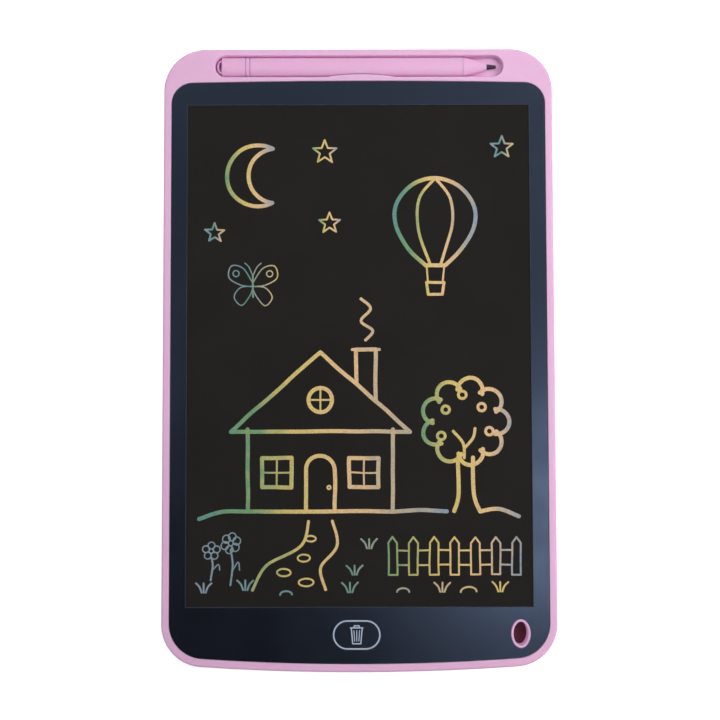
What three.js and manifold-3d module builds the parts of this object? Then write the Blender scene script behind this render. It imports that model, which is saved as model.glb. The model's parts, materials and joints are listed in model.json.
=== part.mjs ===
// LCD writing tablet with its stylus lying in a trough along the top edge.
// Units are millimetres. The tablet lies on its back: +Z points out of the screen,
// +Y runs towards the stylus and +X to the reader's right.
// The origin is under the middle of the outline, on the face that the tablet rests on.

import * as THREE from "three";
import { mergeVertices } from "three/addons/utils/BufferGeometryUtils.js";
import Module from "manifold-3d";

const wasm = await Module();
wasm.setup();

// Body outline and shells
const BODY_WIDTH = 163;
const BODY_LENGTH = 259.4;
const BODY_DEPTH = 7.4;
const CORNER_RADIUS = 17.5;
const BOTTOM_BOW_RADIUS = 950;
const FRONT_EDGE_ROUND = 0.9;
const BACK_EDGE_ROUND = 1.6;
const SEAM_HEIGHT = 2.6;
const SEAM_GAP = 0.2;
const SIDE_WALL = 2;
const BACK_WALL = 1.2;
const LIP_WALL = 1;
const LIP_FIT = 0.2;
const LIP_RISE = 1;
const OVERRUN = 2;

// Printed film round the screen
const RIM_WIDTH = 3.1;
const BOTTOM_RIM_WIDTH = 3.3;
const TOP_BAND = 13.5;
const FILM_TOP_CORNER = 8.9;
const FILM_TOP_BOW_RADIUS = 3400;
const RIM_STEP = 0.25;
const FILM_THICKNESS = 0.4;
const FILM_FIT = 0.15;
const GLUE_LINE = 0.05;

// Screen and what carries it
const WINDOW_SIDE_BORDER = 6.9;
const WINDOW_TOP_BORDER = 10.35;
const WINDOW_BOTTOM_BORDER = 23.3;
const LCD_BORDER = 3;
const LCD_FIT = 0.3;
const LCD_SHEET = 0.3;
const TAPE_THICKNESS = 0.15;
const TAPE_WIDTH = 6;
const DECK_THICKNESS = 1.2;
const TAB_WIDTH = 10;
const TAB_REACH = 4.4;
const TAB_OFFSET_X = 7;

// Electronics bay behind the lower strip
const BAY_WALL = 0.6;
const BAY_ROOF = 1.3;

// Stylus trough
const TROUGH_LENGTH = 120.8;
const TROUGH_WIDTH = 8.6;
const TROUGH_X = 0.3;
const TROUGH_INSET = 7.3;
const TROUGH_WALL = 1.2;
const TROUGH_FLOOR = 0.8;
const TROUGH_BACK_GAP = 0.2;
const TROUGH_SIDE_FIT = 0.3;
const BUMP_LENGTH = 27.6;
const BUMP_REACH = 0.95;
const BUMP_RISE = 0.3;
const BUMP_DEPTH = 2.2;
const BUMP_ROOT = 0.6;
const BUMP_X = 1.2;

// Stylus
const PEN_FIT = 0.3;
const PEN_PROUD = 0.6;
const PEN_REST_GAP = 0.2;
const PEN_TAIL_GAP = 2.7;
const PEN_TIP_GAP = 2.6;
const CAP_LENGTH = 10;
const BAND_LENGTH = 1.8;
const PEN_SEAM = 0.3;
const BARREL_WALL = 1.7;
const BARREL_POWER_SHARE = 2.5;
const TIP_POWER_SHARE = 2;
const BARREL_NOTCH_CLEARANCE = 0.25;
const CAP_ROUND = 0.5;
const SPIGOT_LENGTH = 6;
const SPIGOT_FIT = 0.2;
const EYELET_REACH = 2;
const EYELET_WIDTH = 6;
const EYELET_THICKNESS = 2.2;
const EYELET_RIM = 0.9;
const CONE_LENGTH = 10;
const CONE_TIP_WIDTH = 2.6;
const CONE_LENGTH_SHARES = [0, 0.35, 0.7, 1];
const CONE_TAPER_SHARES = [0, 0.27, 0.62, 1];
const NIB_RADIUS = 1;
const NIB_TIP_RADIUS = 0.75;
const NIB_REACH = 4;
const NIB_SHAFT = 5;
const NIB_FIT = 0.1;
const NIB_ROUND = 0.35;

// Erase key
const KEY_X = -1.1;
const KEY_RISE = 15.25;
const KEY_WIDTH = 20;
const KEY_HEIGHT = 12.4;
const KEY_FIT = 0.2;
const KEY_FLANGE = 1.1;
const KEY_FLANGE_THICKNESS = 0.6;
const KEY_SHELL = 1.1;
const KEY_PLAY = 0.1;
const KEY_TRAVEL = 0.4;

// Circuit board and what stands on it
const BOARD_OFFSET_X = 7.1;
const BOARD_OFFSET_Y = -0.75;
const BOARD_WIDTH = 60;
const BOARD_HEIGHT = 16;
const BOARD_THICKNESS = 1;
const BOARD_LIFT = 0.7;
const BOARD_SEAT_GAP = 0.05;
const BOARD_SCREW_SIDE_INSET = 3.5;
const BOARD_SCREW_END_INSET = 3.2;
const SWITCH_SIZE = 6;
const SWITCH_HEIGHT = 1.4;
const PLUNGER_RADIUS = 1.6;
const PLUNGER_FIT = 0.15;
const PLUNGER_SEAT = 0.5;
const CHIP_CONTACT_GAP = 1;
const CHIP_OFFSET_Y = 2.7;
const CHIP_WIDTH = 5;
const CHIP_LENGTH = 4;
const CHIP_HEIGHT = 1.45;
const CAPACITOR_LENGTH = 3.2;
const CAPACITOR_WIDTH = 1.6;
const CAPACITOR_HEIGHT = 1.2;
const CAPACITOR_OFFSET_Y = -4.8;
const CAPACITOR_SIDE_INSET = 10;
const CAPACITOR_PITCH = 13;
const CAPACITOR_COUNT = 2;
const INDUCTOR_SIDE_INSET = 6.5;
const INDUCTOR_OFFSET_Y = -0.3;
const INDUCTOR_SIZE = 4;
const INDUCTOR_HEIGHT = 1.8;
const INDUCTOR_WAIST = 0.4;
const INDUCTOR_FLANGE = 0.5;
const FLEX_WIDTH = 8;
const FLEX_THICKNESS = 0.15;
const FLEX_LAP = 2;

// Lock switch and its slider on the back
const LOCK_SIDE_INSET = 16;
const LOCK_OFFSET_Y = 0.2;
const LOCK_TRAVEL = 2;
const LOCK_BODY_LENGTH = 8.6;
const LOCK_BODY_WIDTH = 3.6;
const LOCK_BODY_HEIGHT = 1.4;
const LEVER_SIZE = 1.2;
const LEVER_ROOT = 0.5;
const LEVER_FIT = 0.2;
const KNOB_LENGTH = 6;
const KNOB_WIDTH = 3.4;
const KNOB_FIT = 0.25;
const KNOB_CORNER = 0.5;
const KNOB_RECESS = 0.1;
const SLIDER_FLANGE = 1.2;
const SLIDER_FLANGE_THICKNESS = 0.45;
const SLIDER_PLAY = 0.1;
const SCOOP_MARGIN = 2.4;
const SCOOP_DEPTH = 0.45;
const KNOB_RIB_COUNT = 4;
const KNOB_RIB_WIDTH = 0.45;
const KNOB_RIB_DEPTH = 0.25;

// Coin cell, its contacts and its door
const CELL_BOARD_GAP = 12;
const CELL_RISE = 18.7;
const CELL_RADIUS = 10;
const CELL_THICKNESS = 2.5;
const CELL_EDGE_ROUND = 0.4;
const CELL_FIT = 0.3;
const CELL_REST_GAP = 0.2;
const BAY_RING_WALL = 1;
const BAY_RING_MOUTH = 13;
const DOOR_SIDE_MARGIN = 3;
const DOOR_LOW_MARGIN = 2;
const DOOR_HIGH_MARGIN = 10;
const DOOR_CORNER = 2.5;
const DOOR_THICKNESS = 1;
const DOOR_RECESS = 0.1;
const DOOR_FIT = 0.2;
const DOOR_PAD_MARGIN = 1.5;
const DOOR_PAD_THICKNESS = 1;
const DOOR_SCREW_INSET = 3.6;
const DOOR_BOSS_WALL = 0.6;
const DOOR_BOSS_FIT = 0.4;
const TONGUE_WIDTH = 5;
const TONGUE_SPREAD = 14;
const TONGUE_REACH = 1.3;
const TONGUE_THICKNESS = 0.8;
const TONGUE_ROOT = 1.1;
const TONGUE_PLAY = 0.1;
const TONGUE_SWING = 3.1;
const CONTACT_THICKNESS = 0.2;
const CONTACT_WIDTH = 3.4;
const CONTACT_GAP = 0.1;
const CONTACT_LAP = 2.5;
const CONTACT_ARM = 4;
const CONTACT_SLOPE = 3;
const NEGATIVE_CONTACT_OFFSET = 3;
const POSITIVE_CONTACT_OFFSET = -4;

// Screws
const SCREW_RADIUS = 1;
const SCREW_FIT = 0.1;
const SCREW_HEAD_RADIUS = 1.9;
const SCREW_HEAD_HEIGHT = 0.65;
const SCREW_HEAD_FIT = 0.3;
const SCREW_RECESS = 0.15;
const SCREW_TIP = 0.6;
const SCREW_SLOT_WIDTH = 0.5;
const SCREW_SLOT_DEPTH = 0.4;
const SCREW_SLOT_MARGIN = 0.5;
const SCREW_POST_WALL = 1.5;
const SCREW_PAD_RISE = 1;
const CASE_SCREW_LENGTH = 3.1;
const CASE_SCREW_SIDE_INSET = 7;
const CASE_SCREW_TOP_INSET = 23.7;
const CASE_SCREW_BOTTOM_INSET = 37.7;
const BOARD_SCREW_LENGTH = 3;
const DOOR_SCREW_LENGTH = 2.8;
const DOOR_SCREW_SWING = 0.3;

// Cord hole
const HOLE_SIDE_INSET = 15.2;
const HOLE_RISE = 15.6;
const HOLE_WIDTH = 6;
const HOLE_HEIGHT = 9.6;
const HOLE_COLLAR_WALL = 1;
const HOLE_COLLAR_FIT = 0.2;

// Ribs inside the back cover
const RIB_THICKNESS = 1;
const RIB_DECK_GAP = 0.3;
const RIB_STEP = 0.4;
const RIB_DOOR_GAP = 7;
const RIB_TROUGH_GAP = 5;
const RIB_SIDE_INSET = 12;
const RIB_WIDTH_SHARES = [-0.3, -0.1, 0.1, 0.3];
const RIB_LENGTH_SHARES = [0.07, 0.29, 0.5, 0.71, 0.93];

// Facets
const CORNER_STEPS = 8;
const BOW_STEPS = 12;
const ROUND_STEPS = 24;
const SCREW_STEPS = 12;
const CELL_STEPS = 32;
const SECTION_STEPS = 28;
const NOTCH_STEPS = 8;
const SMALL_STEPS = 2;
const BEVEL_STEPS = 3;

// Heights worked out from the values above
const filmTop = BODY_DEPTH - RIM_STEP;
const filmLow = filmTop - FILM_THICKNESS;
const ledge = filmLow - GLUE_LINE;
const frontSheetLow = ledge - LCD_SHEET;
const backSheetTop = frontSheetLow - GLUE_LINE;
const backSheetLow = backSheetTop - LCD_SHEET;
const tapeTop = backSheetLow - GLUE_LINE;
const tapeLow = tapeTop - TAPE_THICKNESS;
const deckTop = tapeLow - GLUE_LINE;
const deckLow = deckTop - DECK_THICKNESS;
const bayRoof = ledge - BAY_ROOF;
const frontLow = SEAM_HEIGHT + SEAM_GAP / 2;
const backTop = SEAM_HEIGHT - SEAM_GAP / 2;
const troughBase = BACK_WALL + TROUGH_BACK_GAP;
const troughFloor = troughBase + TROUGH_FLOOR;
const penLow = troughFloor + PEN_REST_GAP;
const penDepth = BODY_DEPTH + PEN_PROUD - penLow;
const boardLow = BACK_WALL + BOARD_LIFT;
const boardTop = boardLow + BOARD_THICKNESS;
const partsFloor = boardTop + BOARD_SEAT_GAP;
const keyLow = bayRoof - KEY_PLAY - KEY_FLANGE_THICKNESS;
const doorTop = DOOR_RECESS + DOOR_THICKNESS;
const padTop = BACK_WALL + DOOR_PAD_THICKNESS;
const cellLow = doorTop + CELL_REST_GAP;
const cellTop = cellLow + CELL_THICKNESS;
const deckPostLow = BACK_WALL + SCREW_PAD_RISE + BOARD_SEAT_GAP;
const screwHeadTop = SCREW_RECESS + SCREW_HEAD_HEIGHT;

// Places worked out from the values above
const bodyTopY = BODY_LENGTH / 2;
const filmTopY = bodyTopY - TOP_BAND;
const windowWidth = BODY_WIDTH - 2 * RIM_WIDTH - 2 * WINDOW_SIDE_BORDER;
const windowTopY = filmTopY - WINDOW_TOP_BORDER;
const windowLowY = BOTTOM_RIM_WIDTH + WINDOW_BOTTOM_BORDER - bodyTopY;
const windowLength = windowTopY - windowLowY;
const windowY = (windowTopY + windowLowY) / 2;
const lcdWidth = windowWidth + 2 * LCD_BORDER;
const lcdLength = windowLength + 2 * LCD_BORDER;
const lcdLowY = windowLowY - LCD_BORDER;
const troughY = bodyTopY - TROUGH_INSET;
const penWidth = TROUGH_WIDTH - 2 * PEN_FIT;
const penTailX = TROUGH_X - TROUGH_LENGTH / 2 + PEN_TAIL_GAP;
const capEndX = penTailX + CAP_LENGTH;
const bandEndX = capEndX + BAND_LENGTH;
const coneEndX = TROUGH_X + TROUGH_LENGTH / 2 - PEN_TIP_GAP - NIB_REACH;
const barrelEndX = coneEndX - CONE_LENGTH;
const bumpRadius = (BUMP_LENGTH ** 2 / 4 + BUMP_REACH ** 2) / (2 * BUMP_REACH);
const bumpY = troughY - TROUGH_WIDTH / 2;
const keyY = KEY_RISE - bodyTopY;
const boardX = KEY_X + BOARD_OFFSET_X;
const boardY = keyY + BOARD_OFFSET_Y;
const tabX = boardX + TAB_OFFSET_X;
const tabLowY = lcdLowY - TAB_REACH;
const holeX = BODY_WIDTH / 2 - HOLE_SIDE_INSET;
const holeY = HOLE_RISE - bodyTopY;
const postRadius = SCREW_RADIUS + SCREW_POST_WALL;
const headHoleRadius = SCREW_HEAD_RADIUS + SCREW_HEAD_FIT;
const boardLeftX = boardX - BOARD_WIDTH / 2;
const boardRightX = boardX + BOARD_WIDTH / 2;
const cellX = boardLeftX - CELL_BOARD_GAP - CELL_RADIUS;
const cellY = CELL_RISE - bodyTopY;
const cellHoleRadius = CELL_RADIUS + CELL_FIT;
const negativeContactY = cellY + NEGATIVE_CONTACT_OFFSET;
const positiveContactY = cellY + POSITIVE_CONTACT_OFFSET;
const doorWidth = 2 * (CELL_RADIUS + DOOR_SIDE_MARGIN);
const doorLowY = cellY - CELL_RADIUS - DOOR_LOW_MARGIN;
const doorHighY = cellY + CELL_RADIUS + DOOR_HIGH_MARGIN;
const doorScrewY = doorHighY - DOOR_SCREW_INSET;
const doorBossRadius = headHoleRadius + DOOR_BOSS_WALL;
const lockX = boardRightX - LOCK_SIDE_INSET;
const lockY = boardY + LOCK_OFFSET_Y;
const lockMiddleX = lockX + LOCK_TRAVEL / 2;
const ribLowY = doorHighY + RIB_DOOR_GAP;
const ribHighY = bumpY - RIB_TROUGH_GAP;
const caseScrewX = BODY_WIDTH / 2 - CASE_SCREW_SIDE_INSET;
const boardScrewX = BOARD_WIDTH / 2 - BOARD_SCREW_SIDE_INSET;
const boardScrewY = BOARD_HEIGHT / 2 - BOARD_SCREW_END_INSET;
const caseScrewPlaces = [
  [-caseScrewX, CASE_SCREW_BOTTOM_INSET - bodyTopY],
  [caseScrewX, CASE_SCREW_BOTTOM_INSET - bodyTopY],
  [-caseScrewX, bodyTopY - CASE_SCREW_TOP_INSET],
  [caseScrewX, bodyTopY - CASE_SCREW_TOP_INSET],
];
const boardScrewPlaces = [
  [boardX - boardScrewX, boardY - boardScrewY],
  [boardX + boardScrewX, boardY + boardScrewY],
];

// Materials
function finish(color, roughness, metalness = 0) {
  return new THREE.MeshStandardMaterial({ color, roughness, metalness });
}

const pinkPlastic = () => finish(0xe6b8dc, 0.45);
const blackFilm = () => finish(0x2b3142, 0.25);
const screenFilm = () => finish(0x242221, 0.7);
const darkPlastic = () => finish(0x50393f, 0.5);
const foamTape = () => finish(0xd8d5cc, 0.9);
const greenBoard = () => finish(0x1f6b3a, 0.5);
const blackResin = () => finish(0x18181a, 0.6);
const orangeFlex = () => finish(0xb8761e, 0.4);
const steel = () => finish(0xb9bcc0, 0.3, 1);
const tinnedMetal = () => finish(0xd0cdc2, 0.35, 1);
const ferrite = () => finish(0x3b3b3e, 0.7);
const ceramic = () => finish(0xb59a72, 0.6);

// Solids: a closed mesh becomes a solid that can be joined and cut
function toSolid(geometry) {
  const bare = geometry.clone();
  bare.deleteAttribute("normal");
  bare.deleteAttribute("uv");
  const merged = mergeVertices(bare);
  return new wasm.Manifold(new wasm.Mesh({
    numProp: 3,
    vertProperties: new Float32Array(merged.attributes.position.array),
    triVerts: new Uint32Array(merged.index.array),
  }));
}

function toGeometry(solid) {
  const mesh = solid.getMesh();
  const geometry = new THREE.BufferGeometry();
  geometry.setAttribute("position", new THREE.BufferAttribute(mesh.vertProperties, 3));
  geometry.setIndex(new THREE.BufferAttribute(mesh.triVerts, 1));
  geometry.computeVertexNormals();
  return geometry;
}

function join(first, ...others) {
  return others.reduce((whole, piece) => whole.add(piece), first);
}

function cut(first, ...tools) {
  return tools.reduce((whole, tool) => whole.subtract(tool), first);
}

// Outlines
function arc(centreX, centreY, radius, from, to, steps) {
  return Array.from({ length: steps + 1 }, (_, i) => {
    const angle = from + ((to - from) * i) / steps;
    return new THREE.Vector2(centreX + radius * Math.cos(angle), centreY + radius * Math.sin(angle));
  });
}

function roundedBox(width, height, corner, x = 0, y = 0, steps = CORNER_STEPS) {
  const sideX = width / 2 - corner;
  const sideY = height / 2 - corner;
  const quarter = Math.PI / 2;
  return new THREE.Shape([
    ...arc(x + sideX, y - sideY, corner, -quarter, 0, steps),
    ...arc(x + sideX, y + sideY, corner, 0, quarter, steps),
    ...arc(x - sideX, y + sideY, corner, quarter, 2 * quarter, steps),
    ...arc(x - sideX, y - sideY, corner, 2 * quarter, 3 * quarter, steps),
  ]);
}

function capsule(width, height, x = 0, y = 0) {
  const radius = height / 2;
  const sideX = width / 2 - radius;
  const quarter = Math.PI / 2;
  return new THREE.Shape([
    ...arc(x + sideX, y, radius, -quarter, quarter, 2 * CORNER_STEPS),
    ...arc(x - sideX, y, radius, quarter, 3 * quarter, 2 * CORNER_STEPS),
  ]);
}

function box2(width, height, x = 0, y = 0) {
  const right = x + width / 2;
  const high = y + height / 2;
  return new THREE.Shape([
    new THREE.Vector2(right - width, high - height),
    new THREE.Vector2(right, high - height),
    new THREE.Vector2(right, high),
    new THREE.Vector2(right - width, high),
  ]);
}

function oval(width, height, x, y) {
  return new THREE.Shape(Array.from({ length: ROUND_STEPS }, (_, i) => {
    const angle = (2 * Math.PI * i) / ROUND_STEPS;
    return new THREE.Vector2(x + (width / 2) * Math.cos(angle), y + (height / 2) * Math.sin(angle));
  }));
}

// A plate with straight sides and ends that may bow outwards. Each corner is
// tangent to its side and to the arc of its end.
function bowedPlate({ halfWidth, top, bottom, topCorner, bottomCorner, topBow, bottomBow }) {
  const quarter = Math.PI / 2;
  const corner = (radius, bow) => {
    const across = halfWidth - radius;
    if (!bow) return { across, drop: radius, lean: 0 };
    const along = Math.sqrt((bow - radius) ** 2 - across ** 2);
    return { across, drop: bow - along, lean: Math.atan2(across, along) };
  };
  const low = corner(bottomCorner, bottomBow);
  const high = corner(topCorner, topBow);
  const bowPoints = (bow, centreY, middle, lean) =>
    bow ? arc(0, centreY, bow, middle - lean, middle + lean, BOW_STEPS).slice(1, -1) : [];
  return new THREE.Shape([
    ...arc(low.across, bottom + low.drop, bottomCorner, low.lean - quarter, 0, CORNER_STEPS),
    ...arc(high.across, top - high.drop, topCorner, 0, quarter - high.lean, CORNER_STEPS),
    ...bowPoints(topBow, top - topBow, quarter, high.lean),
    ...arc(-high.across, top - high.drop, topCorner, quarter + high.lean, 2 * quarter, CORNER_STEPS),
    ...arc(-low.across, bottom + low.drop, bottomCorner, 2 * quarter, 3 * quarter - low.lean, CORNER_STEPS),
    ...bowPoints(bottomBow, bottom + bottomBow, 3 * quarter, low.lean),
  ]);
}

function bodyOutline(inset = 0) {
  return bowedPlate({
    halfWidth: BODY_WIDTH / 2 - inset,
    top: bodyTopY - inset,
    bottom: inset - bodyTopY,
    topCorner: CORNER_RADIUS - inset,
    bottomCorner: CORNER_RADIUS - inset,
    bottomBow: BOTTOM_BOW_RADIUS - inset,
  });
}

function filmOutline(inset = 0) {
  return bowedPlate({
    halfWidth: BODY_WIDTH / 2 - RIM_WIDTH - inset,
    top: filmTopY - inset,
    bottom: BOTTOM_RIM_WIDTH + inset - bodyTopY,
    topCorner: FILM_TOP_CORNER - inset,
    bottomCorner: CORNER_RADIUS - RIM_WIDTH - inset,
    topBow: FILM_TOP_BOW_RADIUS - inset,
    bottomBow: BOTTOM_BOW_RADIUS - BOTTOM_RIM_WIDTH - inset,
  });
}

// Bodies made from outlines
function prism(shape, low, high, holes = []) {
  const outline = shape.clone();
  outline.holes = holes;
  const geometry = new THREE.ExtrudeGeometry(outline, { depth: high - low, bevelEnabled: false });
  geometry.translate(0, 0, low);
  return geometry;
}

function block(shape, low, high, holes = []) {
  return toSolid(prism(shape, low, high, holes));
}

function post(radius, low, high, x = 0, y = 0) {
  return block(oval(2 * radius, 2 * radius, x, y), low, high);
}

// The whole body before its shells part, with both edges rounded over
function bodyBlank(edgeRound) {
  const geometry = new THREE.ExtrudeGeometry(bodyOutline(), {
    depth: BODY_DEPTH - 2 * edgeRound,
    bevelThickness: edgeRound,
    bevelSize: edgeRound,
    bevelOffset: -edgeRound,
    bevelSegments: BEVEL_STEPS,
  });
  geometry.translate(0, 0, edgeRound);
  return toSolid(geometry);
}

function slab(low, high) {
  return block(box2(BODY_WIDTH + OVERRUN, BODY_LENGTH + OVERRUN), low, high);
}

// A bent strip of even thickness: points run in X and Z, the width lies along Y
function strip(points, thickness, width) {
  const corners = points.map(([x, z]) => new THREE.Vector2(x, z));
  const normals = corners.slice(1).map((point, i) => {
    const run = point.clone().sub(corners[i]).normalize();
    return new THREE.Vector2(-run.y, run.x);
  });
  const offset = corners.map((point, i) => {
    const before = normals[Math.max(i - 1, 0)];
    const after = normals[Math.min(i, normals.length - 1)];
    const mitre = before.clone().add(after).normalize();
    return point.clone().addScaledVector(mitre, thickness / mitre.dot(after));
  });
  const shape = new THREE.Shape([...corners, ...offset.reverse()]);
  const geometry = new THREE.ExtrudeGeometry(shape, { depth: width, bevelEnabled: false });
  geometry.translate(0, 0, -width / 2);
  geometry.rotateX(Math.PI / 2);
  return geometry;
}

// A body drawn through rings of points, with flat ends
function loft(rings) {
  const count = rings[0].length;
  const points = rings.flat();
  const faces = [];
  for (let ring = 0; ring < rings.length - 1; ring += 1) {
    for (let i = 0; i < count; i += 1) {
      const a = ring * count + i;
      const b = ring * count + ((i + 1) % count);
      faces.push(a, b, a + count, b, b + count, a + count);
    }
  }
  const last = points.length - count;
  for (let i = 1; i < count - 1; i += 1) {
    faces.push(0, i + 1, i);
    faces.push(last, last + i, last + i + 1);
  }
  const geometry = new THREE.BufferGeometry();
  geometry.setFromPoints(points);
  geometry.setIndex(faces);
  geometry.computeVertexNormals();
  return geometry;
}

function named(name, geometry, material, x = 0, y = 0, z = 0) {
  const mesh = new THREE.Mesh(geometry, material);
  mesh.name = name;
  mesh.position.set(x, y, z);
  return mesh;
}

function group(...meshes) {
  const holder = new THREE.Group();
  holder.add(...meshes);
  return holder;
}

// Round-headed screw, standing on its head at z = 0 with its tip upwards
function screwGeometry(length) {
  const crown = SCREW_HEAD_RADIUS - SCREW_SLOT_MARGIN / 2;
  const profile = [
    [0, 0],
    [crown, 0],
    [SCREW_HEAD_RADIUS, SCREW_HEAD_HEIGHT / 2],
    [SCREW_HEAD_RADIUS, SCREW_HEAD_HEIGHT],
    [SCREW_RADIUS, SCREW_HEAD_HEIGHT],
    [SCREW_RADIUS, SCREW_HEAD_HEIGHT + length - SCREW_TIP],
    [SCREW_RADIUS / 2, SCREW_HEAD_HEIGHT + length],
    [0, SCREW_HEAD_HEIGHT + length],
  ].map(([radius, z]) => new THREE.Vector2(radius, z));
  const body = new THREE.LatheGeometry(profile, SCREW_STEPS);
  body.rotateX(Math.PI / 2);
  const slotLength = 2 * (SCREW_HEAD_RADIUS - SCREW_SLOT_MARGIN);
  return toGeometry(cut(
    toSolid(body),
    block(box2(slotLength, SCREW_SLOT_WIDTH), -OVERRUN, SCREW_SLOT_DEPTH),
    block(box2(SCREW_SLOT_WIDTH, slotLength), -OVERRUN, SCREW_SLOT_DEPTH),
  ));
}

// Shapes shared by a piece and what it fits
function troughOutline(margin = 0) {
  return capsule(TROUGH_LENGTH + 2 * margin, TROUGH_WIDTH + 2 * margin, TROUGH_X, troughY);
}

function lcdOutline(margin = 0) {
  return box2(lcdWidth + 2 * margin, lcdLength + 2 * margin, 0, windowY);
}

function keyOutline(margin = 0) {
  return roundedBox(
    KEY_WIDTH + 2 * margin,
    KEY_HEIGHT + 2 * margin,
    KEY_HEIGHT / 2 + margin,
    KEY_X,
    keyY,
  );
}

function holeOutline(margin = 0) {
  return oval(HOLE_WIDTH + 2 * margin, HOLE_HEIGHT + 2 * margin, holeX, holeY);
}

function doorOutline(margin = 0) {
  return roundedBox(
    doorWidth + 2 * margin,
    doorHighY - doorLowY + 2 * margin,
    DOOR_CORNER + margin,
    cellX,
    (doorHighY + doorLowY) / 2,
  );
}

// The snap bump on the trough's lower edge swells towards the stylus along an arc.
// A wider copy of it cuts the matching waist into the barrel.
function bumpOutline(margin = 0) {
  const radius = bumpRadius + margin;
  const centreY = bumpY + BUMP_REACH - bumpRadius;
  const root = bumpY - BUMP_ROOT;
  const half = Math.sqrt(radius ** 2 - (bumpY - centreY) ** 2);
  const lean = Math.asin(half / radius);
  const points = arc(BUMP_X, centreY, radius, Math.PI / 2 - lean, Math.PI / 2 + lean, NOTCH_STEPS);
  return new THREE.Shape([
    ...points,
    new THREE.Vector2(BUMP_X - half, root),
    new THREE.Vector2(BUMP_X + half, root),
  ]);
}

// Housing
function frontFrame() {
  const shell = cut(
    cut(bodyBlank(FRONT_EDGE_ROUND), slab(-OVERRUN, frontLow)),
    block(bodyOutline(SIDE_WALL), -OVERRUN, deckLow),
    cut(
      block(bodyOutline(SIDE_WALL), -OVERRUN, bayRoof),
      block(box2(
        BODY_WIDTH + OVERRUN,
        BODY_LENGTH,
        0,
        lcdLowY - LCD_FIT - BAY_WALL + BODY_LENGTH / 2,
      ), -2 * OVERRUN, BODY_DEPTH),
    ),
  );
  const posts = [
    ...caseScrewPlaces.map(([x, y]) => post(postRadius, deckPostLow, deckTop, x, y)),
    ...boardScrewPlaces.map(([x, y]) => post(postRadius, partsFloor, ledge, x, y)),
  ];
  const solidParts = join(
    shell,
    block(troughOutline(TROUGH_WALL), troughBase, ledge),
    block(holeOutline(HOLE_COLLAR_WALL), troughBase, BODY_DEPTH),
    ...posts,
  );
  const pilotTop = screwHeadTop + CASE_SCREW_LENGTH + SCREW_FIT;
  const boardPilotTop = boardLow + BOARD_SCREW_LENGTH + SCREW_FIT;
  const open = cut(
    solidParts,
    cut(
      block(filmOutline(), ledge, BODY_DEPTH + OVERRUN),
      block(holeOutline(HOLE_COLLAR_WALL), ledge, BODY_DEPTH + OVERRUN),
    ),
    block(lcdOutline(LCD_FIT), deckTop, BODY_DEPTH),
    block(tabPocket(), bayRoof - OVERRUN, BODY_DEPTH),
    block(keyOutline(KEY_FIT), bayRoof - OVERRUN, BODY_DEPTH),
    block(troughOutline(), troughFloor, BODY_DEPTH + OVERRUN),
    block(holeOutline(), -OVERRUN, BODY_DEPTH + OVERRUN),
    ...caseScrewPlaces.map(([x, y]) => post(SCREW_RADIUS + SCREW_FIT, 0, pilotTop, x, y)),
    ...boardScrewPlaces.map(([x, y]) => post(SCREW_RADIUS + SCREW_FIT, 0, boardPilotTop, x, y)),
  );
  const bump = block(bumpOutline(), BODY_DEPTH - BUMP_DEPTH, BODY_DEPTH + BUMP_RISE);
  return named("front_frame", toGeometry(join(open, bump)), pinkPlastic());
}

// Room for the screen's connector tab and the flex that runs down from it
function tabPocket() {
  const low = tabLowY - LCD_FIT - FLEX_THICKNESS;
  const high = lcdLowY + LCD_FIT;
  return box2(TAB_WIDTH + 2 * LCD_FIT, high - low, tabX, (high + low) / 2);
}

function backCover() {
  const shell = cut(
    cut(bodyBlank(BACK_EDGE_ROUND), slab(backTop, BODY_DEPTH + OVERRUN)),
    block(bodyOutline(SIDE_WALL), BACK_WALL, BODY_DEPTH),
  );
  const lipInside = bodyOutline(SIDE_WALL + LIP_FIT + LIP_WALL);
  const lip = block(bodyOutline(SIDE_WALL + LIP_FIT), BACK_WALL / 2, backTop + LIP_RISE, [lipInside]);
  const lipFoot = block(bodyOutline(SIDE_WALL / 2), BACK_WALL / 2, backTop, [lipInside]);
  const additions = [
    lip,
    lipFoot,
    ...ribs(),
    ...caseScrewPlaces.map(([x, y]) =>
      post(headHoleRadius + SCREW_POST_WALL, BACK_WALL / 2, BACK_WALL + SCREW_PAD_RISE, x, y)),
    block(doorOutline(DOOR_PAD_MARGIN), BACK_WALL / 2, padTop),
    post(PLUNGER_RADIUS, BACK_WALL / 2, boardLow - BOARD_SEAT_GAP, KEY_X, keyY),
    cellRing(),
  ];
  const cover = cut(
    join(shell, ...additions),
    ...caseScrewPlaces.flatMap(([x, y]) => [
      post(headHoleRadius, -OVERRUN, screwHeadTop, x, y),
      post(SCREW_RADIUS + SCREW_HEAD_FIT, -OVERRUN, BODY_DEPTH, x, y),
    ]),
    block(doorOutline(DOOR_FIT), -OVERRUN, BACK_WALL),
    post(doorBossRadius + DOOR_BOSS_FIT, 0, padTop, cellX, doorScrewY),
    post(cellHoleRadius, 0, BODY_DEPTH, cellX, cellY),
    ...tonguePlaces().map((x) => block(tongueNotch(x), BACK_WALL, padTop + OVERRUN)),
    lockSlot(),
    lockScoop(),
    block(troughOutline(TROUGH_WALL + TROUGH_SIDE_FIT), BACK_WALL, BODY_DEPTH),
    block(holeOutline(HOLE_COLLAR_WALL + HOLE_COLLAR_FIT), BACK_WALL, BODY_DEPTH),
    block(holeOutline(), -OVERRUN, BODY_DEPTH),
  );
  return named("back_cover", toGeometry(join(cover, doorScrewPost())), pinkPlastic());
}

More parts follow.
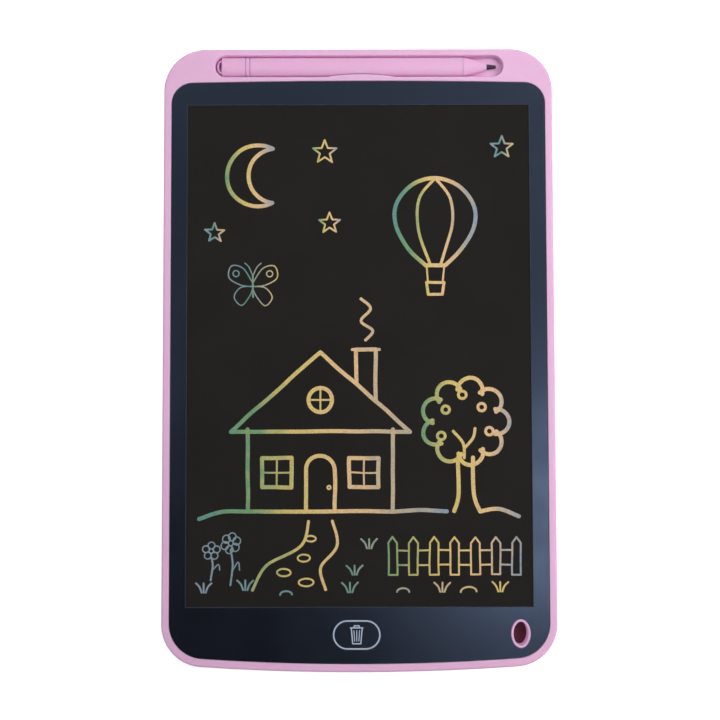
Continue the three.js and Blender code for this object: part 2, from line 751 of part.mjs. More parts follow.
// The post that takes the door's screw bridges the hole for the door's boss
function doorScrewPost() {
  const radius = doorBossRadius + DOOR_BOSS_FIT + SCREW_POST_WALL;
  return cut(
    post(radius, padTop - DOOR_PAD_THICKNESS / 4, deckLow - RIB_DECK_GAP, cellX, doorScrewY),
    post(doorBossRadius + DOOR_BOSS_FIT, 0, padTop, cellX, doorScrewY),
    post(SCREW_RADIUS + DOOR_SCREW_SWING + SCREW_FIT, 0, BODY_DEPTH, cellX, doorScrewY),
    post(cellHoleRadius, 0, BODY_DEPTH, cellX, cellY),
  );
}

// A grid of ribs that holds up the deck behind the screen
function ribs() {
  const high = deckLow - RIB_DECK_GAP;
  const low = BACK_WALL / 2;
  const length = ribHighY - ribLowY;
  const middle = (ribHighY + ribLowY) / 2;
  return [
    ...RIB_WIDTH_SHARES.map((share) =>
      block(box2(RIB_THICKNESS, length, share * BODY_WIDTH, middle), low, high)),
    ...RIB_LENGTH_SHARES.map((share) => {
      const y = ribLowY + share * length;
      return block(box2(BODY_WIDTH - 2 * RIB_SIDE_INSET, RIB_THICKNESS, 0, y), low, high - RIB_STEP);
    }),
  ];
}

// The wall round the coin cell, open towards the circuit board
function cellRing() {
  const outer = cellHoleRadius + BAY_RING_WALL;
  const ring = block(
    oval(2 * outer, 2 * outer, cellX, cellY),
    BACK_WALL,
    deckLow - RIB_DECK_GAP,
    [oval(2 * cellHoleRadius, 2 * cellHoleRadius, cellX, cellY)],
  );
  const mouth = box2(outer, BAY_RING_MOUTH, cellX + outer, (negativeContactY + positiveContactY) / 2);
  return cut(ring, block(mouth, padTop, BODY_DEPTH));
}

function tonguePlaces() {
  return [cellX - TONGUE_SPREAD / 2, cellX + TONGUE_SPREAD / 2];
}

// Clear of the tongue over its whole swing
function tongueNotch(x) {
  const low = doorLowY - TONGUE_SWING;
  const high = doorLowY + TONGUE_SWING;
  return box2(TONGUE_WIDTH + 2 * DOOR_FIT, high - low, x, (high + low) / 2);
}

function lockSlot() {
  const length = KNOB_LENGTH + LOCK_TRAVEL + 2 * KNOB_FIT;
  const shape = roundedBox(length, KNOB_WIDTH + 2 * KNOB_FIT, KNOB_CORNER, lockMiddleX, lockY, SMALL_STEPS);
  return block(shape, -OVERRUN, BACK_WALL + OVERRUN);
}

function lockScoop() {
  const length = KNOB_LENGTH + LOCK_TRAVEL + 2 * SCOOP_MARGIN;
  return block(capsule(length, KNOB_WIDTH + 2 * SCOOP_MARGIN, lockMiddleX, lockY), -OVERRUN, SCOOP_DEPTH);
}

function caseScrews() {
  return caseScrewPlaces.map(([x, y], i) =>
    named(`case_screw_${i + 1}`, screwGeometry(CASE_SCREW_LENGTH), steel(), x, y, SCREW_RECESS));
}

// Screen
function bezelFilm() {
  const window = box2(windowWidth, windowLength, 0, windowY);
  const holes = [window, keyOutline(KEY_FIT), holeOutline(HOLE_COLLAR_WALL + FILM_FIT)];
  return named("bezel_film", prism(filmOutline(FILM_FIT), filmLow, filmTop, holes), blackFilm());
}

function lcdFrontSheet() {
  return named("lcd_front_sheet", prism(lcdOutline(), frontSheetLow, ledge), screenFilm());
}

// The rear sheet has the connector tab on its lower edge
function lcdBackSheet() {
  const left = -lcdWidth / 2;
  const top = lcdLowY + lcdLength;
  const outline = new THREE.Shape([
    [left, lcdLowY],
    [tabX - TAB_WIDTH / 2, lcdLowY],
    [tabX - TAB_WIDTH / 2, tabLowY],
    [tabX + TAB_WIDTH / 2, tabLowY],
    [tabX + TAB_WIDTH / 2, lcdLowY],
    [left + lcdWidth, lcdLowY],
    [left + lcdWidth, top],
    [left, top],
  ].map(([x, y]) => new THREE.Vector2(x, y)));
  return named("lcd_back_sheet", prism(outline, backSheetLow, backSheetTop), screenFilm());
}

function mountingTape() {
  const hole = lcdOutline(-TAPE_WIDTH);
  return named("mounting_tape", prism(lcdOutline(), tapeLow, tapeTop, [hole]), foamTape());
}

// The flex lies under the tab, turns down past the deck and laps onto the board
function lcdFlex() {
  const underTab = backSheetLow - GLUE_LINE - FLEX_THICKNESS;
  const down = tabLowY - lcdLowY;
  const geometry = strip([
    [FLEX_LAP + down, underTab],
    [down, underTab],
    [down, partsFloor],
    [down - FLEX_LAP, partsFloor],
  ].reverse(), FLEX_THICKNESS, FLEX_WIDTH);
  geometry.rotateZ(Math.PI / 2);
  return named("lcd_flex", geometry, orangeFlex(), tabX, lcdLowY, 0);
}

// Erase key: a capsule cap with a skirt, a retaining flange and a centre boss
function eraseKey() {
  const shellLow = filmTop - KEY_SHELL;
  const boss = post(PLUNGER_RADIUS, keyLow, shellLow + KEY_PLAY, KEY_X, keyY);
  const skirt = block(keyOutline(), keyLow, filmTop);
  const flange = block(keyOutline(KEY_FLANGE), keyLow, keyLow + KEY_FLANGE_THICKNESS);
  const hollow = block(keyOutline(-KEY_SHELL), keyLow - OVERRUN, shellLow);
  const key = join(cut(join(skirt, flange), hollow), boss);
  return named("erase_key", toGeometry(key), blackFilm());
}

function eraseSwitch() {
  const top = partsFloor + SWITCH_HEIGHT;
  const plungerTop = keyLow - BOARD_SEAT_GAP;
  const plungerLow = partsFloor + PLUNGER_SEAT + KEY_TRAVEL;
  const wellRadius = PLUNGER_RADIUS + PLUNGER_FIT;
  const body = cut(
    block(roundedBox(SWITCH_SIZE, SWITCH_SIZE, PLUNGER_SEAT, KEY_X, keyY, SMALL_STEPS), partsFloor, top),
    post(wellRadius, partsFloor + PLUNGER_SEAT - PLUNGER_FIT, BODY_DEPTH, KEY_X, keyY),
  );
  const plunger = new THREE.CylinderGeometry(
    PLUNGER_RADIUS - PLUNGER_FIT,
    PLUNGER_RADIUS,
    plungerTop - plungerLow,
    ROUND_STEPS,
  );
  plunger.rotateX(Math.PI / 2);
  return group(
    named("erase_switch_body", toGeometry(body), tinnedMetal()),
    named("erase_switch_plunger", plunger, blackResin(), KEY_X, keyY, (plungerTop + plungerLow) / 2),
  );
}

// Room for the lock lever over its travel
function leverSlot() {
  return roundedBox(
    LEVER_SIZE + LOCK_TRAVEL + 2 * LEVER_FIT,
    LEVER_SIZE + 2 * LEVER_FIT,
    LEVER_FIT,
    lockMiddleX,
    lockY,
    SMALL_STEPS,
  );
}

// Circuit board, drilled for its screws and slotted for the lock lever
function circuitBoard() {
  const screwHoles = boardScrewPlaces.map(([x, y]) =>
    oval(2 * (SCREW_RADIUS + SCREW_FIT), 2 * (SCREW_RADIUS + SCREW_FIT), x, y));
  const outline = box2(BOARD_WIDTH, BOARD_HEIGHT, boardX, boardY);
  const geometry = prism(outline, boardLow, boardTop, [leverSlot(), ...screwHoles]);
  return named("circuit_board", geometry, greenBoard());
}

function boardScrews() {
  const low = boardLow - SCREW_HEAD_HEIGHT - BOARD_SEAT_GAP / 2;
  return boardScrewPlaces.map(([x, y], i) =>
    named(`board_screw_${i + 1}`, screwGeometry(BOARD_SCREW_LENGTH), steel(), x, y, low));
}

function controllerChip() {
  const geometry = new THREE.BoxGeometry(CHIP_WIDTH, CHIP_LENGTH, CHIP_HEIGHT);
  const x = boardLeftX + CONTACT_LAP + CHIP_CONTACT_GAP + CHIP_WIDTH / 2;
  const y = boardY + CHIP_OFFSET_Y;
  return named("controller_chip", geometry, blackResin(), x, y, partsFloor + CHIP_HEIGHT / 2);
}

function capacitors() {
  const firstX = boardRightX - CAPACITOR_SIDE_INSET - (CAPACITOR_COUNT - 1) * CAPACITOR_PITCH;
  return Array.from({ length: CAPACITOR_COUNT }, (_, i) => {
    const geometry = new THREE.BoxGeometry(CAPACITOR_LENGTH, CAPACITOR_WIDTH, CAPACITOR_HEIGHT);
    const x = firstX + i * CAPACITOR_PITCH;
    const y = boardY + CAPACITOR_OFFSET_Y;
    return named(`capacitor_${i + 1}`, geometry, ceramic(), x, y, partsFloor + CAPACITOR_HEIGHT / 2);
  });
}

// A drum core between two square flanges
function boostInductor() {
  const waist = INDUCTOR_SIZE / 2 - INDUCTOR_WAIST;
  const plate = roundedBox(INDUCTOR_SIZE, INDUCTOR_SIZE, INDUCTOR_WAIST, 0, 0, SMALL_STEPS);
  const core = join(
    block(plate, 0, INDUCTOR_FLANGE),
    post(waist, 0, INDUCTOR_HEIGHT),
    block(plate, INDUCTOR_HEIGHT - INDUCTOR_FLANGE, INDUCTOR_HEIGHT),
  );
  const x = boardRightX - INDUCTOR_SIDE_INSET;
  const y = boardY + INDUCTOR_OFFSET_Y;
  return named("boost_inductor", toGeometry(core), ferrite(), x, y, partsFloor);
}

// Lock switch: its lever reaches down through the board into the slider
function lockSwitch() {
  const leverTop = partsFloor + LOCK_BODY_HEIGHT - LEVER_ROOT;
  const leverLow = BACK_WALL - LEVER_FIT;
  const outline = box2(LOCK_BODY_LENGTH, LOCK_BODY_WIDTH, lockMiddleX, lockY);
  const body = cut(
    block(outline, partsFloor, partsFloor + LOCK_BODY_HEIGHT),
    block(leverSlot(), 0, leverTop + LEVER_FIT),
  );
  const lever = new THREE.BoxGeometry(LEVER_SIZE, LEVER_SIZE, leverTop - leverLow);
  return group(
    named("lock_switch_body", toGeometry(body), tinnedMetal()),
    named("lock_switch_lever", lever, blackResin(), lockX, lockY, (leverTop + leverLow) / 2),
  );
}

// The slider's knob shows in a scoop on the back, and its flange runs inside
function lockSlider() {
  const flangeLow = BACK_WALL + SLIDER_PLAY;
  const flangeTop = flangeLow + SLIDER_FLANGE_THICKNESS;
  const knobShape = roundedBox(KNOB_LENGTH, KNOB_WIDTH, KNOB_CORNER, 0, 0, SMALL_STEPS);
  const knob = block(knobShape, KNOB_RECESS, flangeTop);
  const flangeShape = box2(KNOB_LENGTH + 2 * SLIDER_FLANGE, KNOB_WIDTH + 2 * SLIDER_FLANGE);
  const flange = block(flangeShape, flangeLow, flangeTop);
  const socketSize = LEVER_SIZE + LEVER_FIT;
  const socket = block(box2(socketSize, socketSize), BACK_WALL - 2 * LEVER_FIT, BODY_DEPTH);
  const pitch = KNOB_LENGTH / (KNOB_RIB_COUNT + 1);
  const grooves = Array.from({ length: KNOB_RIB_COUNT }, (_, i) => {
    const x = pitch * (i + 1) - KNOB_LENGTH / 2;
    return block(box2(KNOB_RIB_WIDTH, KNOB_WIDTH + OVERRUN, x), -OVERRUN, KNOB_RECESS + KNOB_RIB_DEPTH);
  });
  const slider = cut(join(knob, flange), socket, ...grooves);
  return named("lock_slider", toGeometry(slider), darkPlastic(), lockX, lockY, 0);
}

// Coin cell lying on its door
function coinCell() {
  const edge = CELL_EDGE_ROUND;
  const profile = [
    [0, 0],
    [CELL_RADIUS - edge, 0],
    [CELL_RADIUS, edge],
    [CELL_RADIUS, CELL_THICKNESS - edge],
    [CELL_RADIUS - edge * 2, CELL_THICKNESS - edge],
    [CELL_RADIUS - edge * 3, CELL_THICKNESS],
    [0, CELL_THICKNESS],
  ].map(([radius, z]) => new THREE.Vector2(radius, z));
  const geometry = new THREE.LatheGeometry(profile, CELL_STEPS);
  geometry.rotateX(Math.PI / 2);
  return named("coin_cell", geometry, steel(), cellX, cellY, cellLow);
}

// The negative spring lies over the cell and steps down onto the board
function negativeContact() {
  const over = cellTop + CONTACT_GAP;
  const landing = boardLeftX - cellX;
  const points = [
    [-CONTACT_ARM, over],
    [landing - CONTACT_ARM - CONTACT_SLOPE, over],
    [landing - CONTACT_ARM, partsFloor],
    [landing + CONTACT_LAP, partsFloor],
  ];
  const geometry = strip(points, CONTACT_THICKNESS, CONTACT_WIDTH);
  return named("negative_contact", geometry, tinnedMetal(), cellX, negativeContactY, 0);
}

// The positive spring stands against the cell's rim
function positiveContact() {
  const below = cellY - positiveContactY - CONTACT_WIDTH / 2;
  const rim = Math.sqrt(CELL_RADIUS ** 2 - below ** 2) + CONTACT_GAP + CONTACT_THICKNESS;
  const landing = boardLeftX - cellX;
  const points = [
    [rim, padTop + CONTACT_GAP],
    [rim, cellTop - CONTACT_GAP],
    [rim + CONTACT_SLOPE, cellTop - CONTACT_GAP],
    [landing - CONTACT_ARM, partsFloor],
    [landing + CONTACT_LAP, partsFloor],
  ];
  const geometry = strip(points, CONTACT_THICKNESS, CONTACT_WIDTH);
  return named("positive_contact", geometry, tinnedMetal(), cellX, positiveContactY, 0);
}

// Battery door: two tongues hook over the back cover and one screw holds the far end
function batteryDoor() {
  const tongueLow = BACK_WALL + TONGUE_PLAY;
  const tongueTop = tongueLow + TONGUE_THICKNESS;
  const tongues = tonguePlaces().flatMap((x) => [
    block(box2(TONGUE_WIDTH, TONGUE_REACH + TONGUE_ROOT, x, doorLowY + (TONGUE_ROOT - TONGUE_REACH) / 2),
      tongueLow, tongueTop),
    block(box2(TONGUE_WIDTH, TONGUE_ROOT, x, doorLowY + TONGUE_ROOT / 2), DOOR_RECESS + DOOR_THICKNESS / 2,
      tongueTop),
  ]);
  const door = cut(
    join(
      block(doorOutline(), DOOR_RECESS, doorTop),
      post(doorBossRadius, DOOR_RECESS, padTop - DOOR_FIT, cellX, doorScrewY),
      ...tongues,
    ),
    post(headHoleRadius, -OVERRUN, DOOR_RECESS + screwHeadTop, cellX, doorScrewY),
    post(SCREW_RADIUS + SCREW_FIT, -OVERRUN, BODY_DEPTH, cellX, doorScrewY),
  );
  return named("battery_door", toGeometry(door), pinkPlastic());
}

function batteryDoorScrew() {
  return named(
    "battery_door_screw",
    screwGeometry(DOOR_SCREW_LENGTH),
    steel(),
    cellX,
    doorScrewY,
    DOOR_RECESS + SCREW_RECESS,
  );
}

// Stylus sections: flattened ovals across X, from a rounded box (power over 2) to a circle
function penRing(x, width, depth, power) {
  return Array.from({ length: SECTION_STEPS }, (_, i) => {
    const angle = (2 * Math.PI * i) / SECTION_STEPS;
    const across = Math.cos(angle);
    const up = Math.sin(angle);
    const bend = 2 / power;
    return new THREE.Vector3(
      x,
      (width / 2) * Math.sign(across) * Math.abs(across) ** bend,
      (depth / 2) * Math.sign(up) * Math.abs(up) ** bend,
    );
  });
}

// Stations give x and how far the section is drawn in from the full barrel
function penBody(stations) {
  return toSolid(loft(stations.map(([x, inset]) =>
    penRing(x, penWidth - 2 * inset, penDepth - 2 * inset, BARREL_POWER_SHARE))));
}

function penBore(from, to) {
  return penBody([[from, BARREL_WALL], [to, BARREL_WALL]]);
}

function spigot(from, to) {
  return penBody([[from, BARREL_WALL + SPIGOT_FIT], [to, BARREL_WALL + SPIGOT_FIT]]);
}

// End cap with a half-round eyelet
function stylusEndCap() {
  const front = capEndX - PEN_SEAM / 2;
  const body = join(
    penBody([[penTailX, CAP_ROUND], [penTailX + CAP_ROUND, 0], [front, 0]]),
    spigot(front - SPIGOT_FIT, bandEndX + SPIGOT_LENGTH),
  );
  const half = (reach, width, stop) => new THREE.Shape([
    ...Array.from({ length: 2 * CORNER_STEPS + 1 }, (_, i) => {
      const angle = Math.PI / 2 + (Math.PI * i) / (2 * CORNER_STEPS);
      return new THREE.Vector2(penTailX + reach * Math.cos(angle), (width / 2) * Math.sin(angle));
    }),
    new THREE.Vector2(stop, -width / 2),
    new THREE.Vector2(stop, width / 2),
  ]);
  const outside = half(EYELET_REACH, EYELET_WIDTH, penTailX + CAP_ROUND);
  const inside = half(EYELET_REACH - EYELET_RIM, EYELET_WIDTH - 2 * EYELET_RIM, penTailX + CAP_ROUND / 4);
  const loop = cut(
    block(outside, -EYELET_THICKNESS / 2, EYELET_THICKNESS / 2),
    block(inside, -OVERRUN, OVERRUN),
  );
  return named("stylus_end_cap", toGeometry(join(body, loop)), pinkPlastic());
}

function stylusBand() {
  const from = capEndX + PEN_SEAM / 2;
  const to = bandEndX - PEN_SEAM / 2;
  const band = cut(penBody([[from, 0], [to, 0]]), penBore(from - OVERRUN, to + OVERRUN));
  return named("stylus_band", toGeometry(band), pinkPlastic());
}

function stylusBarrel() {
  const from = bandEndX + PEN_SEAM / 2;
  const to = barrelEndX - PEN_SEAM / 2;
  const waist = block(bumpOutline(BARREL_NOTCH_CLEARANCE), -penDepth, penDepth).translate(0, -troughY, 0);
  const barrel = cut(penBody([[from, 0], [to, 0]]), penBore(from - OVERRUN, to + OVERRUN), waist);
  return named("stylus_barrel", toGeometry(barrel), pinkPlastic());
}

function stylusCone() {
  const from = barrelEndX + PEN_SEAM / 2;
  const rings = CONE_LENGTH_SHARES.map((share, i) => {
    const taper = CONE_TAPER_SHARES[i];
    const width = penWidth + (CONE_TIP_WIDTH - penWidth) * taper;
    const depth = penDepth + (CONE_TIP_WIDTH - penDepth) * taper;
    const power = BARREL_POWER_SHARE + (TIP_POWER_SHARE - BARREL_POWER_SHARE) * taper;
    return penRing(from + (coneEndX - from) * share, width, depth, power);
  });
  const bore = new THREE.CylinderGeometry(
    NIB_RADIUS + NIB_FIT,
    NIB_RADIUS + NIB_FIT,
    NIB_SHAFT + OVERRUN,
    ROUND_STEPS,
  );
  bore.rotateZ(Math.PI / 2);
  bore.translate(coneEndX - NIB_SHAFT / 2 + OVERRUN / 2 - NIB_FIT, 0, 0);
  const cone = cut(
    join(toSolid(loft(rings)), spigot(barrelEndX - SPIGOT_LENGTH, from + SPIGOT_FIT)),
    toSolid(bore),
  );
  return named("stylus_cone", toGeometry(cone), pinkPlastic());
}

function stylusNib() {
  const profile = [
    [0, -NIB_SHAFT + NIB_FIT],
    [NIB_RADIUS, -NIB_SHAFT + NIB_FIT],
    [NIB_RADIUS, 0],
    [NIB_TIP_RADIUS, NIB_REACH - NIB_ROUND],
    [NIB_TIP_RADIUS - NIB_ROUND, NIB_REACH],
    [0, NIB_REACH],
  ].map(([radius, along]) => new THREE.Vector2(radius, along));
  const geometry = new THREE.LatheGeometry(profile, ROUND_STEPS);
  geometry.rotateZ(-Math.PI / 2);
  return named("stylus_nib", geometry, darkPlastic(), coneEndX, 0, 0);
}

function stylus() {
  const pen = group(stylusEndCap(), stylusBand(), stylusBarrel(), stylusCone(), stylusNib());
  pen.position.set(0, troughY, penLow + penDepth / 2);
  return pen;
}

const tablet = new THREE.Group();
tablet.add(
  group(frontFrame(), backCover(), ...caseScrews()),
  group(bezelFilm(), lcdFrontSheet(), lcdBackSheet(), mountingTape(), lcdFlex()),
  group(eraseKey(), eraseSwitch()),
  group(circuitBoard(), ...boardScrews(), controllerChip(), ...capacitors(), boostInductor()),
  group(lockSwitch(), lockSlider()),
  group(coinCell(), negativeContact(), positiveContact(), batteryDoor(), batteryDoorScrew()),
  stylus(),
);

export default tablet;
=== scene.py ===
import json
import math

import bpy
from mathutils import Matrix, Vector, noise

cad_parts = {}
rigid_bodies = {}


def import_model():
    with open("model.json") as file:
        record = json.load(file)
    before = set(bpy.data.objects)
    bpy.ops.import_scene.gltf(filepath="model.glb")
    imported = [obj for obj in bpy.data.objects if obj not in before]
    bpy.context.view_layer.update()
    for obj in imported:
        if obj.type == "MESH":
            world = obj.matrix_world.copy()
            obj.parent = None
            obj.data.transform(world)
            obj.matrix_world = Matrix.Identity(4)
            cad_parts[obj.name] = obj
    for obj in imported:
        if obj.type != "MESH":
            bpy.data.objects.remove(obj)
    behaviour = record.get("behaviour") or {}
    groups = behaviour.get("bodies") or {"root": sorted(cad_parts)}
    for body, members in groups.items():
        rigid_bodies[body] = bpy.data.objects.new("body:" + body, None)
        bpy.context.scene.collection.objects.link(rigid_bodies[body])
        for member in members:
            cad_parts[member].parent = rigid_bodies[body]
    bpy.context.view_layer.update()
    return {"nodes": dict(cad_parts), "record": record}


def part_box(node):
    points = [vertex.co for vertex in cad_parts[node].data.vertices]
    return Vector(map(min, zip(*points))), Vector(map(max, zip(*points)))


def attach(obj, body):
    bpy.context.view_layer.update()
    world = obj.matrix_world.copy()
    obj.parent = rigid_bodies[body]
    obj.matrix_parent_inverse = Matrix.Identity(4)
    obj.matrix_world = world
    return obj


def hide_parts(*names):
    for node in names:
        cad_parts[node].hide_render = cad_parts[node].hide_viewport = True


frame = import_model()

# An LCD writing tablet with its stylus in a trough along the top edge.
# Sizes and places are in millimetres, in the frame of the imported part: +Z points out of the
# screen, +Y runs towards the stylus and +X to the reader's right. Meshes are made in metres.
MM = 0.001
OVERRUN = 2.0


def srgb(red, green, blue):
    """Screen values from 0 to 255 as linear light."""

    def linear(value):
        share = value / 255
        return share / 12.92 if share <= 0.04045 else ((share + 0.055) / 1.055) ** 2.4

    return linear(red), linear(green), linear(blue), 1.0


# Shells
BODY_CORNER = 17.5
BOTTOM_BOW = 950.0
FRONT_ROUND = 0.9
BACK_ROUND = 1.6
SEAM_HEIGHT = 2.6
SEAM_GAP = 0.2
SEAM_BREAK = 0.15
SIDE_WALL = 2.0
BACK_WALL = 1.2
LIP_WALL = 1.0
LIP_FIT = 0.2
LIP_RISE = 1.0
RIM_BREAK = 0.18
BAY_ROOF = 5.4
BAY_TOP_CORNER = 0.5
BAY_WALL = 0.6
POST_WALL = 1.5
PAD_TOP = 2.2

# Printed film and screen
FILM_FIT = 0.15
FILM_TOP_CORNER = 8.9
FILM_TOP_BOW = 3400.0
FILM_BOTTOM_INSET = 3.3
RIM_WIDTH = 3.1
RIM_STEP = 0.25
FILM_EDGE_BREAK = 0.08
WINDOW_EDGE = 0.22
WINDOW_EDGE_DROP = 0.12
LCD_BORDER = 3.0
LCD_FIT = 0.3
GLUE_LINE = 0.05
DECK_THICKNESS = 1.2
TAB_WIDTH = 10.6
TAB_LENGTH = 4.85

# Stylus trough and snap bump
TROUGH_LENGTH = 120.8
TROUGH_X = 0.3
TROUGH_WALL = 1.2
TROUGH_FLOOR = 2.2
TROUGH_BASE = 1.4
TROUGH_RIM = 0.6
TROUGH_LEAN = 2.6
TROUGH_HUG = 0.12
NIB_SEAT = 3.6
NIB_SEAT_START_SHARE = 0.15
EYELET_SEAT = 3.9
EYELET_SEAT_GAP = 0.15
TROUGH_COVE = 2.0
TROUGH_SIDE_FIT = 0.3
PEN_FIT = 0.3
BUMP_X = 1.2
BUMP_LENGTH = 27.6
BUMP_REACH = 0.95
BUMP_ROOT = 1.1
BUMP_DEPTH = 2.2
BUMP_SLOPE = 0.9
BUMP_SINK = 0.02
BUMP_FIT = 0.25

# Cord hole
HOLE_WIDTH = 6.0
HOLE_HEIGHT = 9.6
HOLE_WALL = 1.0
HOLE_INNER_ROUND = 0.5
HOLE_OUTER_ROUND = 0.35
HOLE_FIT = 0.2

# Erase key and its print
KEY_FLANGE = 1.1
KEY_FLANGE_THICKNESS = 0.6
KEY_SHELL = 1.1
KEY_FIT = 0.2
KEY_BREAK = 0.06
KEY_BOSS = 1.6
PRINT_THICKNESS = 0.02
KEY_LINE_INSET = 0.2
KEY_LINE = 0.62
PRINT_SINK = 0.02
BIN_RIM_RISE = 2.85
BIN_LID_WIDTH = 5.15
BIN_WIDTH = 4.5
BIN_BASE_WIDTH = 3.3
BIN_HEIGHT = 6.45
BIN_LINE = 0.5
BIN_RIB = 0.38
BIN_RIB_GAP = 1.1
BIN_RIB_SHARES = (-0.26, 0.0, 0.26)
BIN_HANDLE_WIDTH = 2.6
BIN_HANDLE_TOP = 1.9
BIN_HANDLE_HEIGHT = 0.85

# Stylus
PEN_SEAM = 0.3
PEN_POWER = 2.5
ROUND_POWER = 2
PEN_EDGE_BREAK = 0.22
PEN_WALL = 1.7
CAP_ROUND = 0.5
SPIGOT_FIT = 0.2
SPIGOT_LENGTH = 6.0
EYELET_REACH = 2.0
EYELET_WIDTH = 6.0
EYELET_THICKNESS = 2.2
EYELET_RIM = 0.9
EYELET_ROUND = 0.4
CONE_TIP = 2.6
CONE_TIP_ROUND = 0.3
CONE_BEND = 1.25
CONE_STEPS = 24
NIB_RADIUS = 1.0
NIB_TIP_RADIUS = 0.75
NIB_ROUND = 0.35
NIB_REACH = 4.0
NIB_SHAFT = 5.0
NIB_FIT = 0.1
NIB_BASE_RADIUS = 1.15
GROOVE_DEPTH = 0.35
CONE_GROOVE_DEPTH = 0.15
CONE_EDGE_BREAK = 0.08
SHOULDER_FIT = 0.04

# Battery door: its tongues, grip ridges and the boss for its screw
DOOR_CORNER = 2.5
DOOR_FIT = 0.2
DOOR_THICKNESS = 1.0
DOOR_EDGE_BREAK = 0.25
DOOR_PAD_MARGIN = 1.5
DOOR_BOSS_WALL = 0.6
DOOR_BOSS_FIT = 0.4
DOOR_SCREW_SWING = 0.4
TONGUE_WIDTH = 5.0
TONGUE_SPREAD = 14.0
TONGUE_REACH = 1.3
TONGUE_ROOT = 1.1
TONGUE_THICKNESS = 0.8
TONGUE_PLAY = 0.1
TONGUE_SWING = 3.1
GRIP_COUNT = 5
GRIP_WIDTH = 0.5
GRIP_PITCH = 1.3
GRIP_LENGTH = 9.0
GRIP_DEPTH = 0.18
GRIP_DROP = 7.5

# Lock slider, its slot and the scoop round it
LOCK_TRAVEL = 2.0
SLIDER_FLANGE = 1.2
SLIDER_FLANGE_THICKNESS = 0.45
SLIDER_COVER = 1.35
KNOB_CORNER = 0.5
KNOB_BREAK = 0.12
KNOB_FIT = 0.25
KNOB_RIB_COUNT = 4
KNOB_RIB_WIDTH = 0.45
KNOB_RIB_DEPTH = 0.25
SCOOP_MARGIN = 2.4
SCOOP_DEPTH = 0.45
SCOOP_COVE = 0.3
LEVER_SOCKET = 1.4
SOCKET_DROP = 0.4

# Screws and the recesses for their heads
SCREW_RADIUS = 1.0
SCREW_FIT = 0.1
SCREW_HEAD_RADIUS = 1.9
SCREW_HEAD_HEIGHT = 0.65
SCREW_HEAD_FIT = 0.3
SCREW_HEAD_ROUND = 0.3
SCREW_TIP = 0.6
SCREW_CROSS_WIDTH = 0.5
SCREW_CROSS_LENGTH = 2.7
SCREW_CROSS_DEPTH = 0.4
SCREW_CROSS_TAPER = 0.06
RECESS_BREAK = 0.15
POST_LAP = 0.25

# Coin cell's wall, and the ribs as shares of the body's width and of their own reach
CELL_FIT = 0.3
CELL_RING = 1.0
CELL_MOUTH = 13.0
RIB_THICKNESS = 1.0
RIB_TOP = 4.3
RIB_STEP = 0.4
RIB_SIDE_INSET = 12.0
RIB_DOOR_GAP = 7.0
RIB_TROUGH_GAP = 5.0
RIB_WIDTH_SHARES = (-0.3, -0.1, 0.1, 0.3)
RIB_LENGTH_SHARES = (0.07, 0.29, 0.5, 0.71, 0.93)

# Drawing on the screen: line widths, colours along a line, counts, and shares of a motif's reach
BOLD = 1.65
MEDIUM = 1.2
FINE = 0.75
HAIR = 0.5
LINE_THICKNESS = 0.03
HAND_SWAY = 0.35
SWAY_PITCH = 0.09
SWAY_SEED = 5
TEAL = srgb(104, 152, 146)
GREEN = srgb(122, 165, 120)
YELLOW = srgb(224, 200, 122)
PEACH = srgb(236, 198, 148)
BEIGE = srgb(196, 180, 154)
SLATE = srgb(146, 163, 178)
WIDE_STOPS = [(0.0, TEAL), (0.2, GREEN), (0.4, YELLOW), (0.6, PEACH), (0.8, BEIGE), (1.0, SLATE)]
WARM_STOPS = [(0.0, GREEN), (0.35, YELLOW), (0.7, PEACH), (1.0, SLATE)]
COOL_STOPS = [(0.0, SLATE), (0.4, TEAL), (0.75, BEIGE), (1.0, YELLOW)]
COLOUR_WANDER = 0.06
SPECKLE_TONE = 0.72
SPECKLE_SHARES = (0.25, 0.6)
FENCE_PICKETS = 7
TREE_LOBES = 9
PETAL_SHARE = 0.62
FLOWER_EYE_SHARE = 0.4
STAR_POINTS = 5
STAR_INNER_SHARE = 0.42

# Finishes. Grain shares are the part of a noise that counts as its low and high.
WHITE = (1.0, 1.0, 1.0, 1.0)
BLACK = (0.0, 0.0, 0.0, 1.0)
SHELL_PINK = srgb(238, 191, 226)
PEN_PINK = srgb(238, 185, 223)
FILM_TINT = srgb(178, 206, 255)
GRAIN_SHARES = (0.3, 0.7)
GLOW_DEPTH = 1.6
GLOW_SPREAD_SHARES = (1.0, 0.5, 0.8)
GLOW_SHARE = 0.5
# Sharp edges turn paler: partly wear, partly a painted highlight where edges catch light.
EDGE_SHARPNESS = (0.52, 0.62)
EDGE_WEAR_AND_HIGHLIGHT = 0.22
WORN_AND_HIGHLIT_TONE = 1.12

# Stage. A card patch gives its middle, its reach along X and Y, and its strength.
FLOOR_DROP = 0.2
FLOOR_REACH = 6000.0
FLOOR_COLOUR = (0.8, 0.8, 0.8, 1.0)
# Painted shade: the floor's colour under the tablet, dark so that the floor seen through the cord hole looks
# shaded.
PAINTED_CONTACT_SHADE = srgb(96, 62, 66)
SHADE_INSET = 1.2
SHADE_FADE = 1.5
# Painted shade: under the tablet the floor's glow in reflections is dimmed to this share.
UNDER_GLOSS = 0.4
GLOW_NEAR = 200.0
GLOW_FAR = 700.0
GLOW_LOW = 0.72
CARD_HEIGHT = 1500.0
CARD_REACH = 1500.0
CARD_GROUND = 0.05
CARD_PATCHES = [
    (262.0, -130.0, 215.0, 255.0, 27.0),
    (-260.0, 800.0, 1190.0, 930.0, 2.3),
    (350.0, 420.0, 480.0, 750.0, 3.0),
    (-560.0, 60.0, 270.0, 220.0, 17.0),
]

# Light: the world's level, then each lamp's place, the side of its square, and its power in watts
WORLD_LEVEL = 0.22
KEY_LIGHT = ((410.0, 90.0, 500.0), 400.0, 2.95)
FILL_LIGHT = ((-300.0, 320.0, 500.0), 400.0, 1.05)
UNDER_LIGHT = ((300.0, -300.0, -900.0), 300.0, 9.5)

